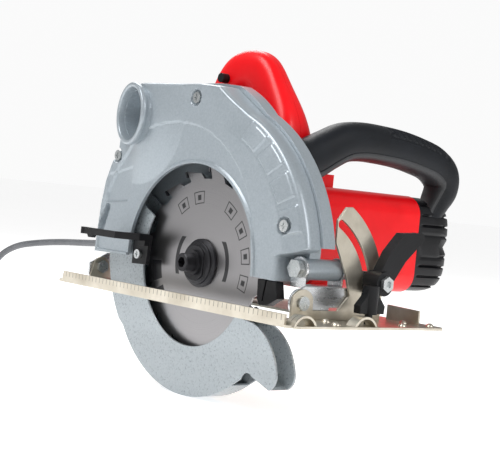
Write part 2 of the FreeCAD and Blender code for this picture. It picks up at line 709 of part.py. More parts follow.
def handle_opening(grow=0.0):
    """The gap for the hand."""
    return [
        (22 + grow, 96 - grow), (20 + grow, 112), (-12, 145 + grow), (-26 - grow, 143 + grow),
        (-62 - grow, 74), (-61 - grow, 63 - grow), (-48, 61 - grow), (-33, 92 - grow),
    ]


GRIP_ALONG = (-0.463, -0.887)
GRIP_INWARD = (-0.887, 0.463)
GRIP_MIDDLE = (-41.5, 113.5)


def on_grip(along, inward):
    """A point beside the grip's front edge: how far down the edge, how far into the grip."""
    return (GRIP_MIDDLE[0] + GRIP_ALONG[0] * along + GRIP_INWARD[0] * inward,
            GRIP_MIDDLE[1] + GRIP_ALONG[1] * along + GRIP_INWARD[1] * inward)


def build_main_handle():
    middle, half = size("handle_middle"), size("handle_half")
    wall = SIZES["handle_wall"]
    for side, low, high in (("left", middle - half, middle), ("right", middle, middle + half)):
        left = side == "left"
        shell = new_body(f"handle_{side}")
        pad(shell, "XZ", low, high, handle_outline(), handle_opening())
        inner_low, inner_high = (low + wall, high) if left else (low, high - wall)
        pocket(shell, "XZ", inner_low, inner_high, handle_outline(wall), handle_opening(wall))
        slot_low, slot_high = (middle - 7.6, middle) if left else (middle, middle + 7.6)
        pocket(shell, "XZ", slot_low, slot_high,
            [on_grip(-14.6, -3), on_grip(14.6, -3), on_grip(14.6, 5), on_grip(-14.6, 5)])
        pocket(shell, "XZ", slot_low, slot_high, [(-87, 12.6), (-87, 27.4), (-104, 25), (-104, 10)])
        if left:
            pocket(shell, "XZ", low - 1, low + wall + 1, ("circle", -34, 157, 4.3))
        node(shell, f"handle_{side}")

    grip = new_body("handle_grip")
    outer = [(-51.6, 170), (-99.2, 66), (-101.6, 34), (-99.5, 34), (-97, 66), (-49.6, 169.2)]
    pad(grip, "XZ", middle - half, middle + half, outer)
    node(grip, "handle_grip")

    trigger = new_body("trigger")
    pad(trigger, "XZ", middle - 7, middle + 7,
        [on_grip(-14, -5), on_grip(-8, -8), on_grip(9, -8), on_grip(14, -5), on_grip(14, 9),
            on_grip(-14, 9)])
    node(trigger, "trigger")

    switch = new_body("switch_unit")
    pad(switch, "XZ", middle - 9, middle + 9,
        [on_grip(-17, 15), on_grip(17, 15), on_grip(17, 23), on_grip(-17, 23)])
    node(switch, "switch_unit")

    node(rod("lock_button", "Y", (-34, middle - half - 4, 157), 11, 4.0), "lock_off_button")

    boot = doc.addObject("Part::Cone", "cord_boot")
    bind(boot, "Radius1", 6.6)
    bind(boot, "Radius2", size("cord_radius") + 1.2)
    bind(boot, "Height", 50)
    boot.Placement = Placement(Vector(-89, SIZES["handle_middle"], 19.4),
        Rotation(AXES["Z"], Vector(-0.98, 0, -0.2)))
    node(boot, "strain_relief")

    head = rod("spindle_lock_head", "X", (-37.5, 28, 22), 8.5, 5.5)
    stem = rod("spindle_lock_stem", "X", (-30, 28, 22), 10, 3.0)
    node(join("spindle_lock_joined", head, stem), "spindle_lock_button")


# ---------------------------------------------------------------- auxiliary loop handle

def rounded_path(points, plane_x=None):
    """Straight runs joined by tangent arcs. Each arc is as large as its two runs allow."""
    points = [Vector(*p) if plane_x is None else Vector(plane_x, *p) for p in points]
    edges, start, radii = [], points[0], []
    for before, corner, after in zip(points, points[1:], points[2:]):
        back, ahead = before - corner, after - corner
        turn = math.pi - back.getAngle(ahead)
        cut_back = 0.45 * min(back.Length, ahead.Length)
        radii.append(cut_back / math.tan(turn / 2))
        unit_back, unit_ahead = back / back.Length, ahead / ahead.Length
        first, last = corner + unit_back * cut_back, corner + unit_ahead * cut_back
        towards = unit_back + unit_ahead
        towards = towards / towards.Length
        middle = corner + towards * (radii[-1] / math.cos(turn / 2) - radii[-1])
        edges.append(Part.LineSegment(start, first).toShape())
        edges.append(Part.Arc(first, middle, last).toShape())
        start = last
    edges.append(Part.LineSegment(start, points[-1]).toShape())
    return Part.Wire(edges), radii


LOOP_ROUTE = [(18, 89), (46, 90), (86, 112.5), (150, 112.5), (204, 105.5), (226, 90), (208, 58)]


def build_loop_handle(cap):
    x, half_height = SIZES["loop_x"] + 4, SIZES["loop_half_height"]
    half_chord, split = 13.6, -8.0
    path, _ = rounded_path(LOOP_ROUTE, x)
    start = Vector(x, *LOOP_ROUTE[0])

    def swept(top, level):
        ends = [start + Vector(-half_chord, 0, level), start + Vector(half_chord, 0, level)]
        profile = Part.Wire([Part.Arc(ends[0], start + Vector(0, 0, top), ends[1]).toShape(),
                             Part.LineSegment(ends[1], ends[0]).toShape()])
        return path.makePipeShell([profile], True, False)

    for name, label, top, level in (("loop_upper", "auxiliary_handle", half_height, split),
                                    ("loop_lower", "handle_underside", -half_height, split - 0.05)):
        sweep = doc.addObject("Part::Feature", name)
        sweep.Shape = swept(top, level)
        node(cut(name + "_cut", sweep, cap), label)


# ---------------------------------------------------------------- carrier between saw and base

def build_carrier():
    hinge_x, hinge_z = size("depth_x"), size("depth_z")
    pivot_y, pivot_z = size("bevel_y"), size("bevel_z")
    clamp_y, clamp_z = polar(SIZES["slot_radius"], SIZES["clamp_turn"],
        (SIZES["bevel_y"], SIZES["bevel_z"]))

    bracket = new_body("bracket_sheet")
    pad(bracket, "XZ", -3, 38.6,
        [(hinge_x - 8, -6), (hinge_x + 7, -6), (hinge_x + 7, -4), (hinge_x - 8, -4)])
    for low in (-3, 36.6):
        pad(bracket, "XZ", low, low + 2, ("circle", hinge_x, hinge_z, 9.5))
        pad(bracket, "XZ", low, low + 2,
            [(hinge_x - 8, -5), (hinge_x + 7, -5), (hinge_x + 7, 6), (hinge_x - 8, 6)])
    pocket(bracket, "XZ", -4, 40, ("circle", hinge_x, hinge_z, 4.06))
    node(bracket, "hinge_bracket")

    head = prism("depth_bolt_head", "Y", (hinge_x, -8.6, hinge_z), 5.4, 7.6)
    shank = rod("depth_bolt_shank", "Y", (hinge_x, -4, hinge_z), 49, 4.0)
    node(join("depth_bolt_joined", head, shank), "depth_hinge_bolt")
    node(cut("depth_nut_cut", prism("depth_nut_hex", "Y", (hinge_x, 38.8, hinge_z), 5.4, 7.4),
             rod("depth_nut_bore", "Y", (hinge_x, 38, hinge_z), 8, 4.02)), "depth_hinge_nut")

    carrier = new_body("carrier")
    pad(carrier, "YZ", 125.2, 127.4,
        [(pivot_y, pivot_z - 10.8, pivot_y - 10.8, pivot_z), (pivot_y, pivot_z + 10.8), (-3, -4.5),
            (48, -4.5),
         (53, 2), (clamp_y - 6, clamp_z + 8), (clamp_y + 6, clamp_z + 8), (clamp_y + 9, clamp_z - 4),
         (56, -26),
         (38, -26), (36, -20), (24, -20), (22, -25.5)])
    pad(carrier, "XZ", 54, 56, [(112, -24), (127.4, -24), (127.4, -7), (112, -7)])
    pocket(carrier, "YZ", 124, 129, ("circle", pivot_y, pivot_z, 3.06))
    pocket(carrier, "YZ", 124, 129, ("circle", clamp_y, clamp_z, 3.06))
    node(carrier, "carrier_plate")

    shank = rod("clamp_bolt_shank", "X", (121, clamp_y, clamp_z), 30, 3.0)
    head = prism("clamp_bolt_head", "X", (149.6, clamp_y, clamp_z), 3.2, 6.2)
    nut = prism("clamp_bolt_nut", "X", (120, clamp_y, clamp_z), 5, 6.0)
    socket = prism("clamp_bolt_socket", "X", (151, clamp_y, clamp_z), 3, 3.2)
    node(cut("clamp_bolt_cut", join("clamp_bolt_joined", shank, head, nut), socket), "bevel_clamp_bolt")

    hub = rod("clamp_hub", "X", (133.4, clamp_y, clamp_z), 15.8, 9.4)
    arm = new_body("clamp_arm")
    pad(arm, "YZ", 137, 146.5,
        [(clamp_y - 4, clamp_z + 7), (clamp_y + 9, clamp_z - 2), (clamp_y + 24, clamp_z + 18),
         (clamp_y + 42, clamp_z + 34, clamp_y + 43.5, clamp_z + 38), (clamp_y + 38, clamp_z + 41),
         (clamp_y + 20, clamp_z + 40), (clamp_y + 6, clamp_z + 25)])
    bore = rod("clamp_bore", "X", (132, clamp_y, clamp_z), 20, 3.06)
    node(cut("clamp_lever_cut", join("clamp_lever_joined", hub, arm), bore), "bevel_clamp_lever")

    rear = new_body("rear_bracket")
    pad(rear, "YZ", -136.6, -134.4, [(-18, -25), (-18, -14), (0, -4.5), (10, -5.5), (24, -12), (24, -25)])
    pad(rear, "XZ", 20, 22, [(-136.6, -24), (-113, -24), (-113, -11), (-136.6, -11)])
    pocket(rear, "YZ", -138, -133, ("circle", pivot_y, pivot_z, 3.06))
    node(rear, "rear_pivot_bracket")

    arc = new_body("depth_arc_bar")
    radius = SIZES["depth_arc_radius"]
    low_angle, high_angle = 180 + 5.5, 180 - DEPTH_BOLT_ANGLE - SIZES["depth_range"] - 4
    middle = (low_angle + high_angle) / 2
    pad(arc, "XZ", 22.2, 24.2, ring_sector(radius - 8, radius + 8, low_angle, middle, high_angle))
    slot_low, slot_high = 180 - DEPTH_BOLT_ANGLE + 1, 180 - DEPTH_BOLT_ANGLE - SIZES["depth_range"] - 1
    pocket(arc, "XZ", 21, 26,
        ring_sector(radius - 3.3, radius + 3.3, slot_low, (slot_low + slot_high) / 2, slot_high))
    node(arc, "depth_arc")

    bolt_x, bolt_z = polar(radius, 180 - DEPTH_BOLT_ANGLE, DEPTH_AXIS)
    shank = rod("depth_clamp_shank", "Y", (bolt_x, 14.1, bolt_z), 22, 3.0)
    head = prism("depth_clamp_head", "Y", (bolt_x, 34.4, bolt_z), 4, 5.8)
    node(join("depth_clamp_bolt_joined", shank, head), "depth_clamp_bolt")
    hub = rod("depth_lever_hub", "Y", (bolt_x, 24.5, bolt_z), 9.6, 8.0)
    lever = new_body("depth_lever_arm")
    pad(lever, "XZ", 26, 33,
        [(bolt_x - 2, bolt_z - 6), (bolt_x - 34, bolt_z - 19, bolt_x - 39, bolt_z - 14),
            (bolt_x - 34, bolt_z - 8),
         (bolt_x - 2, bolt_z + 6)])
    bore = rod("depth_lever_bore", "Y", (bolt_x, 23, bolt_z), 14, 3.06)
    node(cut("depth_lever_cut", join("depth_lever_joined", hub, lever), bore), "depth_clamp_lever")


def ring_sector(inner, outer, start, middle, end):
    """Part of a ring about the depth hinge."""
    return [
        (*polar(inner, start, DEPTH_AXIS), *polar(inner, middle, DEPTH_AXIS)),
        (*polar(inner, end, DEPTH_AXIS),),
        (*polar(outer, end, DEPTH_AXIS), *polar(outer, middle, DEPTH_AXIS)),
        (*polar(outer, start, DEPTH_AXIS),),
    ]


# ---------------------------------------------------------------- base plate

def build_base():
    sole, sheet_top = size("sole"), size("sole") + size("sheet_thickness")
    thickness = size("sheet_thickness")
    front, rear, near, far = size("base_front"), size("base_rear"), size("base_near"), size("base_far")
    pivot_y, pivot_z = size("bevel_y"), size("bevel_z")
    plate = new_body("base_plate")
    pad(plate, "XY", sole, sheet_top,
        [(rear + 9, near, rear + 2.6, near + 2.6), (rear, near + 9), (rear, far - 8, rear + 2.4, far - 2.4),
         (rear + 8, far), (front - 6, far), (front, far - 6), (front, near + 8), (front - 8, near)],
        rounded_box(-117, -41, 121, 38, 6))
    pad(plate, "XZ", near, near + thickness,
        [(rear + 10, sole + 1), (front - 9, sole + 1), (front - 9, sole + size("fence_height")),
         (rear + 12, sole + size("fence_height"))])
    pad(plate, "XZ", 99, 101, [(118, sole + 1), (152, sole + 1), (152, -18), (118, -17)])
    for low, high in ((-50, -27), (12, 36)):
        middle = (low + high) / 2
        crown = sheet_top + 7.5
        pad(plate, "YZ", 158, 168,
            [(low, sheet_top - 1, middle, crown), (high, sheet_top - 1),
                (high - 2, sheet_top - 1, middle, crown - 1.8),
             (low + 2, sheet_top - 1)])
    pocket(plate, "XY", sole - 1, sheet_top + 1, ("circle", 150, 44, 3.06))
    node(plate, "base_plate")

    quadrant = new_body("bevel_quadrant")
    clamp = (SIZES["bevel_y"], SIZES["bevel_z"])
    radius = SIZES["slot_radius"]
    turn = SIZES["clamp_turn"]
    top = turn + SIZES["bevel_range"]
    outer = [polar(radius + 17, angle, clamp) for angle in (top - 4, 36, 10)]
    pad(quadrant, "YZ", 128, 130.2,
        [(-18, sheet_top), (-18, -20), (-17.4, -13, -7, -6.4), (3.4, -13), (4, -22), (30, -22),
            (42, -10), (36, 6),
         (22, 30), (21.5, 47), (30, 57.5), (36, 58), (*outer[0], *outer[1]), (*outer[2],), (78, sheet_top)])
    pocket(quadrant, "YZ", 127, 132, arc_slot(radius, 3.4, turn - 2, top + 1.5, clamp))
    pocket(quadrant, "YZ", 127, 132, ("circle", pivot_y, pivot_z, 3.06))
    node(quadrant, "bevel_quadrant")

    rivet = rod("rivet_head", "X", (130.3, pivot_y, pivot_z), 1.8, 5.4)
    stem = rod("rivet_stem", "X", (122, pivot_y, pivot_z), 9, 3.0)
    tail = rod("rivet_tail", "X", (121.8, pivot_y, pivot_z), 3, 5.0)
    node(join("rivet_joined", rivet, stem, tail), "bevel_rivet")

    ear = new_body("rear_ear")
    pad(ear, "YZ", -133.9, -131.9, [(-19, sheet_top), (-16, -18), (2, -18), (9, sheet_top)])
    pad(ear, "YZ", -133.9, -131.9, ("circle", pivot_y, pivot_z, 8.6))
    pocket(ear, "YZ", -136, -130, ("circle", pivot_y, pivot_z, 3.06))
    node(ear, "rear_base_ear")

    shank = rod("rear_bolt_shank", "X", (-143, pivot_y, pivot_z), 14.2, 3.0)
    head = prism("rear_bolt_head", "X", (-131.7, pivot_y, pivot_z), 3.4, 5.8)
    nut = prism("rear_bolt_nut", "X", (-141.6, pivot_y, pivot_z), 4.8, 5.8)
    washer = rod("rear_bolt_washer", "X", (-136.9 - 0.9, pivot_y, pivot_z), 1.0, 7.0)
    node(join("rear_bolt_joined", shank, head, nut, washer), "rear_pivot_bolt")

    domes = []
    for i, (x, y) in enumerate(((142, 7.5), (160, 0), (143, 92), (160, 104), (160, 72))):
        ball = doc.addObject("Part::Sphere", f"dome_{i}")
        ball.Radius = 3.6
        ball.Angle1 = 18
        ball.Placement = Placement(Vector(x, y,
            float(sheet_top) - 3.6 * math.sin(math.radians(18)) + 0.02), Rotation())
        domes.append(ball)
    node(group("dome_group", domes), "plate_rivets")

    stem = rod("fence_screw_stem", "Z", (150, 44, sole + 0.4), 11, 3.0)
    collar = rod("fence_screw_collar", "Z", (150, 44, -21.5), 21.5, 6.2)
    wing = new_body("fence_screw_wing")
    pad(wing, "YZ", 146.6, 153.4,
        [(31, -21), (57, -21), (57.5, -15), (51, -8), (49, -0.6), (39, -0.6), (37, -8), (30.5, -15)])
    node(join("fence_screw_joined", stem, collar, wing), "fence_wing_screw")


def arc_slot(radius, half_width, start, end, centre):
    """A curved slot with round ends."""
    middle = (start + end) / 2
    inner, outer = radius - half_width, radius + half_width
    nose = math.degrees(half_width / radius)
    return [
        (*polar(inner, start, centre), *polar(inner, middle, centre)),
        (*polar(inner, end, centre), *polar(radius, end + nose, centre)),
        (*polar(outer, end, centre), *polar(outer, middle, centre)),
        (*polar(outer, start, centre), *polar(radius, start - nose, centre)),
    ]


# ---------------------------------------------------------------- mains lead

# The lead leaves the boot at the foot of the handle, runs rearwards with a slight sag and comes
# down to the floor, where the rest of it lies in a coil with the plug beside it.
LEAD_ROUTE = [
    (-138, 50, 9.4), (-162, 50, 4.6), (-196, 50, 0.6), (-238, 50, -3), (-284, 50, -6), (-330, 50, -11),
    (-374, 50, -18), (-408, 50, -33), (-430, 50, -60), (-447, 50, -88), (-470, 50, FLOOR + 3.3),
    (-500, 50, FLOOR + 3.3),
]
COIL_CENTRE = (-520, 7)
COIL_MIDDLE_RADIUS = 36.4
COIL_TURNS_ACROSS = 3
COIL_LAYERS = 2
PLUG_START = (-508, -36)


def build_lead():
    radius = SIZES["cord_radius"]
    path, radii = rounded_path(LEAD_ROUTE)
    print("lead: arc radii", [round(r, 1) for r in radii], "length", round(path.Length, 1))
    circle = Part.Wire(Part.Circle(Vector(*LEAD_ROUTE[0]),
        Vector(*LEAD_ROUTE[1]) - Vector(*LEAD_ROUTE[0]), radius).toShape())
    tube = doc.addObject("Part::Feature", "lead_tube")
    tube.Shape = path.makePipeShell([circle], True, False)
    print("lead: volume", round(tube.Shape.Volume), "section by length",
        round(math.pi * radius ** 2 * path.Length))
    node(tube, "cord_tube")

    half_width = COIL_TURNS_ACROSS * radius
    height = 2 * radius * COIL_LAYERS
    coil = cut("coil_cut",
        rod("coil_outer", "Z", (*COIL_CENTRE, FLOOR), height, COIL_MIDDLE_RADIUS + half_width),
               rod("coil_inner", "Z", (*COIL_CENTRE, FLOOR - 1), height + 2,
                   COIL_MIDDLE_RADIUS - half_width))
    node(coil, "cord_coil")

    inner, outer = COIL_MIDDLE_RADIUS - half_width - 1.2, COIL_MIDDLE_RADIUS + half_width + 1.2
    x, y = COIL_CENTRE
    band = cut("tie_cut",
        block("tie_outer", (x - outer, y - 5, FLOOR), (x - inner, y + 5, FLOOR + height + 1.2)),
               block("tie_inner", (x - outer + 1.2, y - 6, FLOOR - 1),
                   (x - inner - 1.2, y + 6, FLOOR + height + 0.02)))
    node(band, "cord_tie")

    x, y = PLUG_START
    neck = doc.addObject("Part::Cone", "plug_neck")
    neck.Radius1, neck.Radius2, neck.Height = 5.0, 8.0, 16
    neck.Placement = Placement(Vector(x, y, FLOOR + 13.2), Rotation(AXES["Z"], AXES["X"]))
    grip = rod("plug_grip", "X", (x + 15.5, y, FLOOR + 13.2), 24, 13.0)
    face = rod("plug_face", "X", (x + 39, y, FLOOR + 13.2), 5, 12.0)
    pins = [rod(f"plug_pin_{i}", "X", (x + 43, y + dy, FLOOR + 13.2), 18, 2.4) for i,
        dy in enumerate((-9.5, 9.5))]
    node(join("plug_joined", neck, grip, face, *pins), "mains_plug")


# ---------------------------------------------------------------- build, check and write

build_spindle_set()
build_armature()
build_motor_housing()
build_fixed_guard()
build_lower_guard()
build_main_handle()
doc.recompute()
build_loop_handle(doc.getObject("motor_end_cap"))
build_carrier()
build_base()
build_lead()
doc.recompute()

offset = Vector(SIZES["arbor_x"], SIZES["arbor_y"], SIZES["arbor_height"])
failed = [f"{obj.Name}: {obj.getStatusString()}" for obj in doc.Objects
          if "Invalid" in obj.State or "Error" in obj.State]
if failed:
    raise RuntimeError("objects that failed:\n" + "\n".join(failed))

os.makedirs("parts", exist_ok=True)
whole = FreeCAD.BoundBox()
for obj in NODES:
    shape = obj.Shape
    if shape.isNull() or not shape.isValid():
        raise RuntimeError(f"{obj.Label} has no valid shape")
    obj.Placement = Placement(offset, Rotation()).multiply(obj.Placement)
    shape = obj.Shape
    shape.exportStep(f"parts/{obj.Label}.step")
    whole.add(shape.BoundBox)
print("nodes", len(NODES), "box", whole)
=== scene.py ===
import json
import math

import bmesh
import bpy
import numpy as np
from mathutils import Matrix, Vector

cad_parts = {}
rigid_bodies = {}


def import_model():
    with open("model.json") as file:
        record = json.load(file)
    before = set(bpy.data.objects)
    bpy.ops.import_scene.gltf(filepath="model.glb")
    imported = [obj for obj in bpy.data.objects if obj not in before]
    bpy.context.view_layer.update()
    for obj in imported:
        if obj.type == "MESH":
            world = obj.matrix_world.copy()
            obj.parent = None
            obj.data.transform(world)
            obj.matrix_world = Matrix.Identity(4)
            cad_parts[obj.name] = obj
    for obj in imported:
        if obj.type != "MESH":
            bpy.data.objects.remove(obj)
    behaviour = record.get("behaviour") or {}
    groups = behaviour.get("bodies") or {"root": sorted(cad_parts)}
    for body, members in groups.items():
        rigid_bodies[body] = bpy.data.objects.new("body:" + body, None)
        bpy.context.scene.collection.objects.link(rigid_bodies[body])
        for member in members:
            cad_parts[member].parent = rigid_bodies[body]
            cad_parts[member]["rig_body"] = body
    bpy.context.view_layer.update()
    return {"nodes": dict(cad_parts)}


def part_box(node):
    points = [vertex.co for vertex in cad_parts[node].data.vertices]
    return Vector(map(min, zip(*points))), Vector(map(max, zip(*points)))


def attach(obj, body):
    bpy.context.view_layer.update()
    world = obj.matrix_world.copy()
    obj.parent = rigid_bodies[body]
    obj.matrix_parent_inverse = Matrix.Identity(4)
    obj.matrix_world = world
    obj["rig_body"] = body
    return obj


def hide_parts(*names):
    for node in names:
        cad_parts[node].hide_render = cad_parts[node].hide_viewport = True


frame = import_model()

# A hand-held circular saw. All lengths are metres. The blade turns about the arbor, a line
# parallel to Y; +X is the way the saw cuts, +Y points from the blade to the motor, +Z is up.
MM = 0.001
blade_low, blade_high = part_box("blade")
ARBOR = (blade_low + blade_high) / 2


def at(x, y, z):
    """A point given in millimetres from the arbor, in the frame's metres."""
    return Vector((ARBOR.x + x * MM, ARBOR.y + y * MM, ARBOR.z + z * MM))


# ---------------------------------------------------------------- camera

def add_camera():
    """A long lens in front of the blade side, a little above the base plate."""
    data = bpy.data.cameras.new("camera")
    camera = bpy.data.objects.new("camera", data)
    bpy.context.scene.collection.objects.link(camera)
    right = Vector((0.65686, 0.74743, 0.09944))
    up = Vector((-0.08194, -0.06034, 0.99481))
    back = Vector((0.74955, -0.66160, 0.02161))
    turn = Matrix((right, up, back)).transposed().to_4x4()
    camera.matrix_world = Matrix.Translation(at(824.7, -680.0, 58.2)) @ turn
    data.lens = 93.6
    data.sensor_width = 36
    data.clip_start = 0.02
    data.clip_end = 60
    bpy.context.scene.camera = camera


add_camera()


# ---------------------------------------------------------------- mains lead

FLOOR = -109.0
CORD_RADIUS = 3.3
LEAD_ROUTE = [
    (-138, 50, 9.4), (-162, 50, 4.6), (-196, 50, 0.6), (-238, 50, -3), (-284, 50, -6), (-330, 50, -11),
    (-374, 50, -18), (-408, 50, -33), (-430, 50, -60), (-447, 50, -88), (-470, 50, FLOOR + CORD_RADIUS),
    (-500, 50, FLOOR + CORD_RADIUS),
]
COIL_CENTRE = (-520, 7)
OUTER_TURN = 43.0
POINTS_PER_TURN = 24
TURNS = 5.5
PLUG_POINT = (-509, -36, FLOOR + 13.2)


def smooth_step(x):
    """0 below 0 and 1 above 1, with an even ease between."""
    x = np.clip(x, 0, 1)
    return x * x * (3 - 2 * x)


def coil_points():
    """Turns side by side on the floor from the outside in, then a second layer from the inside out."""
    steps = np.arange(1, int(TURNS * POINTS_PER_TURN) + 1) / POINTS_PER_TURN
    inward = smooth_step((steps - 0.8) / 0.2) + smooth_step((steps - 1.8) / 0.2)
    outward = smooth_step((steps - 3.8) / 0.2) + smooth_step((steps - 4.8) / 0.2)
    radius = OUTER_TURN - 2 * CORD_RADIUS * (inward - outward)
    angle = np.pi / 2 + 2 * np.pi * steps
    height = FLOOR + CORD_RADIUS + 2 * CORD_RADIUS * smooth_step((steps - 2.7) / 0.3)
    return np.stack([COIL_CENTRE[0] + radius * np.cos(angle), COIL_CENTRE[1] + radius * np.sin(angle),
        height], 1)


def lead_curve():
    """The lead as one open spline: its route, the turns of its coil, then the plug."""
    data = bpy.data.curves.new("mains_lead", "CURVE")
    data.dimensions = "3D"
    # the sheath's radius is carried by the points, so the curve's own box stays true
    data.bevel_depth = 1.0
    data.bevel_resolution = 5
    data.resolution_u = 6
    data.use_fill_caps = True
    points = [*LEAD_ROUTE, (-520, 50, FLOOR + CORD_RADIUS), *coil_points(), PLUG_POINT]
    spline = data.splines.new("NURBS")
    spline.points.add(len(points) - 1)
    for target, point in zip(spline.points, points):
        target.co = (*at(*point), 1)
        target.radius = CORD_RADIUS * MM
    spline.order_u = 3
    spline.use_endpoint_u = True
    lead = bpy.data.objects.new("mains_lead", data)
    bpy.context.scene.collection.objects.link(lead)
    return lead


lead = lead_curve()
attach(lead, "saw_body")
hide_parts("cord_tube", "cord_coil")


# ---------------------------------------------------------------- shader groups

def new_group(name, inputs, outputs):
    """A node group; inputs are (name, socket type, default), outputs are (name, socket type)."""
    group = bpy.data.node_groups.new(name, "ShaderNodeTree")
    for label, kind, default in inputs:
        socket = group.interface.new_socket(label, in_out="INPUT", socket_type=kind)
        socket.default_value = default
    for label, kind in outputs:
        group.interface.new_socket(label, in_out="OUTPUT", socket_type=kind)
    return group, group.nodes.new("NodeGroupInput"), group.nodes.new("NodeGroupOutput")


def add_node(tree, kind, **values):
    """A node with some of its properties or input sockets set by name."""
    made = tree.nodes.new(kind)
    for name, value in values.items():
        label = name.replace("_", " ")
        if hasattr(made, name):
            setattr(made, name, value)
        else:
            made.inputs[label].default_value = value
    return made


def mottle_group():
    """Soft blotches at a chosen size: a value about 0.5, and the same seen again much finer."""
    group, put, out = new_group(
        "mottle", [("Size", "NodeSocketFloat", 40.0), ("Spread", "NodeSocketFloat", 0.5)],
        [("Value", "NodeSocketFloat"), ("Fine", "NodeSocketFloat")])
    place = add_node(group, "ShaderNodeTexCoord")
    broad = add_node(group, "ShaderNodeTexNoise", Detail=4.0, Roughness=0.6)
    fine = add_node(group, "ShaderNodeTexNoise", Detail=3.0, Roughness=0.7)
    bigger = add_node(group, "ShaderNodeMath", operation="MULTIPLY")
    bigger.inputs[1].default_value = 9.0
    spread = add_node(group, "ShaderNodeMapRange")
    links = group.links
    links.new(place.outputs["Object"], broad.inputs["Vector"])
    links.new(place.outputs["Object"], fine.inputs["Vector"])
    links.new(put.outputs["Size"], broad.inputs["Scale"])
    links.new(put.outputs["Size"], bigger.inputs[0])
    links.new(bigger.outputs[0], fine.inputs["Scale"])
    links.new(broad.outputs["Fac"], spread.inputs["Value"])
    spread.inputs["From Min"].default_value = 0.3
    spread.inputs["From Max"].default_value = 0.7
    links.new(spread.outputs["Result"], out.inputs["Value"])
    links.new(fine.outputs["Fac"], out.inputs["Fine"])
    return group


def brushed_group():
    """Fine scratches that run along one axis: noise stretched by unequal scales."""
    group, put, out = new_group(
        "brushed", [("Stretch", "NodeSocketVector", (40.0, 900.0, 900.0))], [("Value", "NodeSocketFloat")])
    place = add_node(group, "ShaderNodeTexCoord")
    stretch = add_node(group, "ShaderNodeVectorMath", operation="MULTIPLY")
    noise = add_node(group, "ShaderNodeTexNoise", Scale=1.0, Detail=5.0, Roughness=0.7)
    group.links.new(place.outputs["Object"], stretch.inputs[0])
    group.links.new(put.outputs["Stretch"], stretch.inputs[1])
    group.links.new(stretch.outputs[0], noise.inputs["Vector"])
    group.links.new(noise.outputs["Fac"], out.inputs["Value"])
    return group


def turned_group():
    """Rings about the arbor's line, as left by grinding or turning: noise read along the radius."""
    group, put, out = new_group(
        "turned", [("Rings", "NodeSocketFloat", 1500.0)],
        [("Value", "NodeSocketFloat"), ("Radius", "NodeSocketFloat")])
    place = add_node(group, "ShaderNodeTexCoord")
    centre = add_node(group, "ShaderNodeVectorMath", operation="SUBTRACT")
    centre.inputs[1].default_value = tuple(ARBOR)
    flat = add_node(group, "ShaderNodeVectorMath", operation="MULTIPLY")
    flat.inputs[1].default_value = (1, 0, 1)
    length = add_node(group, "ShaderNodeVectorMath", operation="LENGTH")
    scaled = add_node(group, "ShaderNodeMath", operation="MULTIPLY")
    noise = add_node(group, "ShaderNodeTexNoise", noise_dimensions="1D", Scale=1.0, Detail=3.0,
        Roughness=0.8)
    links = group.links
    links.new(place.outputs["Object"], centre.inputs[0])
    links.new(centre.outputs[0], flat.inputs[0])
    links.new(flat.outputs[0], length.inputs[0])
    links.new(length.outputs["Value"], scaled.inputs[0])
    links.new(put.outputs["Rings"], scaled.inputs[1])
    links.new(scaled.outputs[0], noise.inputs["W"])
    links.new(noise.outputs["Fac"], out.inputs["Value"])
    links.new(length.outputs["Value"], out.inputs["Radius"])
    return group


MOTTLE = mottle_group()
BRUSHED = brushed_group()
TURNED = turned_group()


# ---------------------------------------------------------------- materials

def start_material(name, metallic=0.0, roughness=0.5, coat=0.0, coat_roughness=0.1, ior=1.5):
    """A new material with its own shader, its uniform numbers set on the shader."""
    material = bpy.data.materials.new(name)
    material.use_nodes = True
    tree = material.node_tree
    shader = tree.nodes["Principled BSDF"]
    shader.inputs["Metallic"].default_value = metallic
    shader.inputs["Roughness"].default_value = roughness
    shader.inputs["Coat Weight"].default_value = coat
    shader.inputs["Coat Roughness"].default_value = coat_roughness
    shader.inputs["IOR"].default_value = ior
    return material, tree, shader


def use_group(tree, group, **values):
    """Places a shared effect in a material with its own values."""
    made = tree.nodes.new("ShaderNodeGroup")
    made.node_tree = group
    for name, value in values.items():
        made.inputs[name].default_value = value
    return made


def shade(tree, factor, low, high, target):
    """Mixes two colours by a mask and sends the result to a socket."""
    mix = add_node(tree, "ShaderNodeMix", data_type="RGBA")
    mix.inputs[6].default_value = (*low, 1)
    mix.inputs[7].default_value = (*high, 1)
    tree.links.new(factor, mix.inputs[0])
    tree.links.new(mix.outputs[2], target)
    return mix


def vary(tree, value, low, high, target):
    """Maps a mask from 0..1 to a range on a socket."""
    change = add_node(tree, "ShaderNodeMapRange")
    change.inputs["To Min"].default_value = low
    change.inputs["To Max"].default_value = high
    tree.links.new(value, change.inputs["Value"])
    tree.links.new(change.outputs["Result"], target)


def bump(tree, shader, height, strength, distance):
    """Raises the surface by a height that changes over it."""
    node = add_node(tree, "ShaderNodeBump", Strength=strength, Distance=distance)
    tree.links.new(height, node.inputs["Height"])
    tree.links.new(node.outputs["Normal"], shader.inputs["Normal"])
    return node


def painted_casting(name, low, high, roughness, coat=0.0, metallic=0.35, peel=0.10):
    """Enamel over a casting: slight blotches and orange peel."""
    material, tree, shader = start_material(name, metallic, roughness, coat, 0.15)
    marks = use_group(tree, MOTTLE, Size=640.0)
    shade(tree, marks.outputs["Value"], low, high, shader.inputs["Base Color"])
    vary(tree, marks.outputs["Value"], roughness - 0.05, roughness + 0.07, shader.inputs["Roughness"])
    peel_noise = use_group(tree, MOTTLE, Size=170.0)
    bump(tree, shader, peel_noise.outputs["Fine"], peel, 0.0004)
    return material


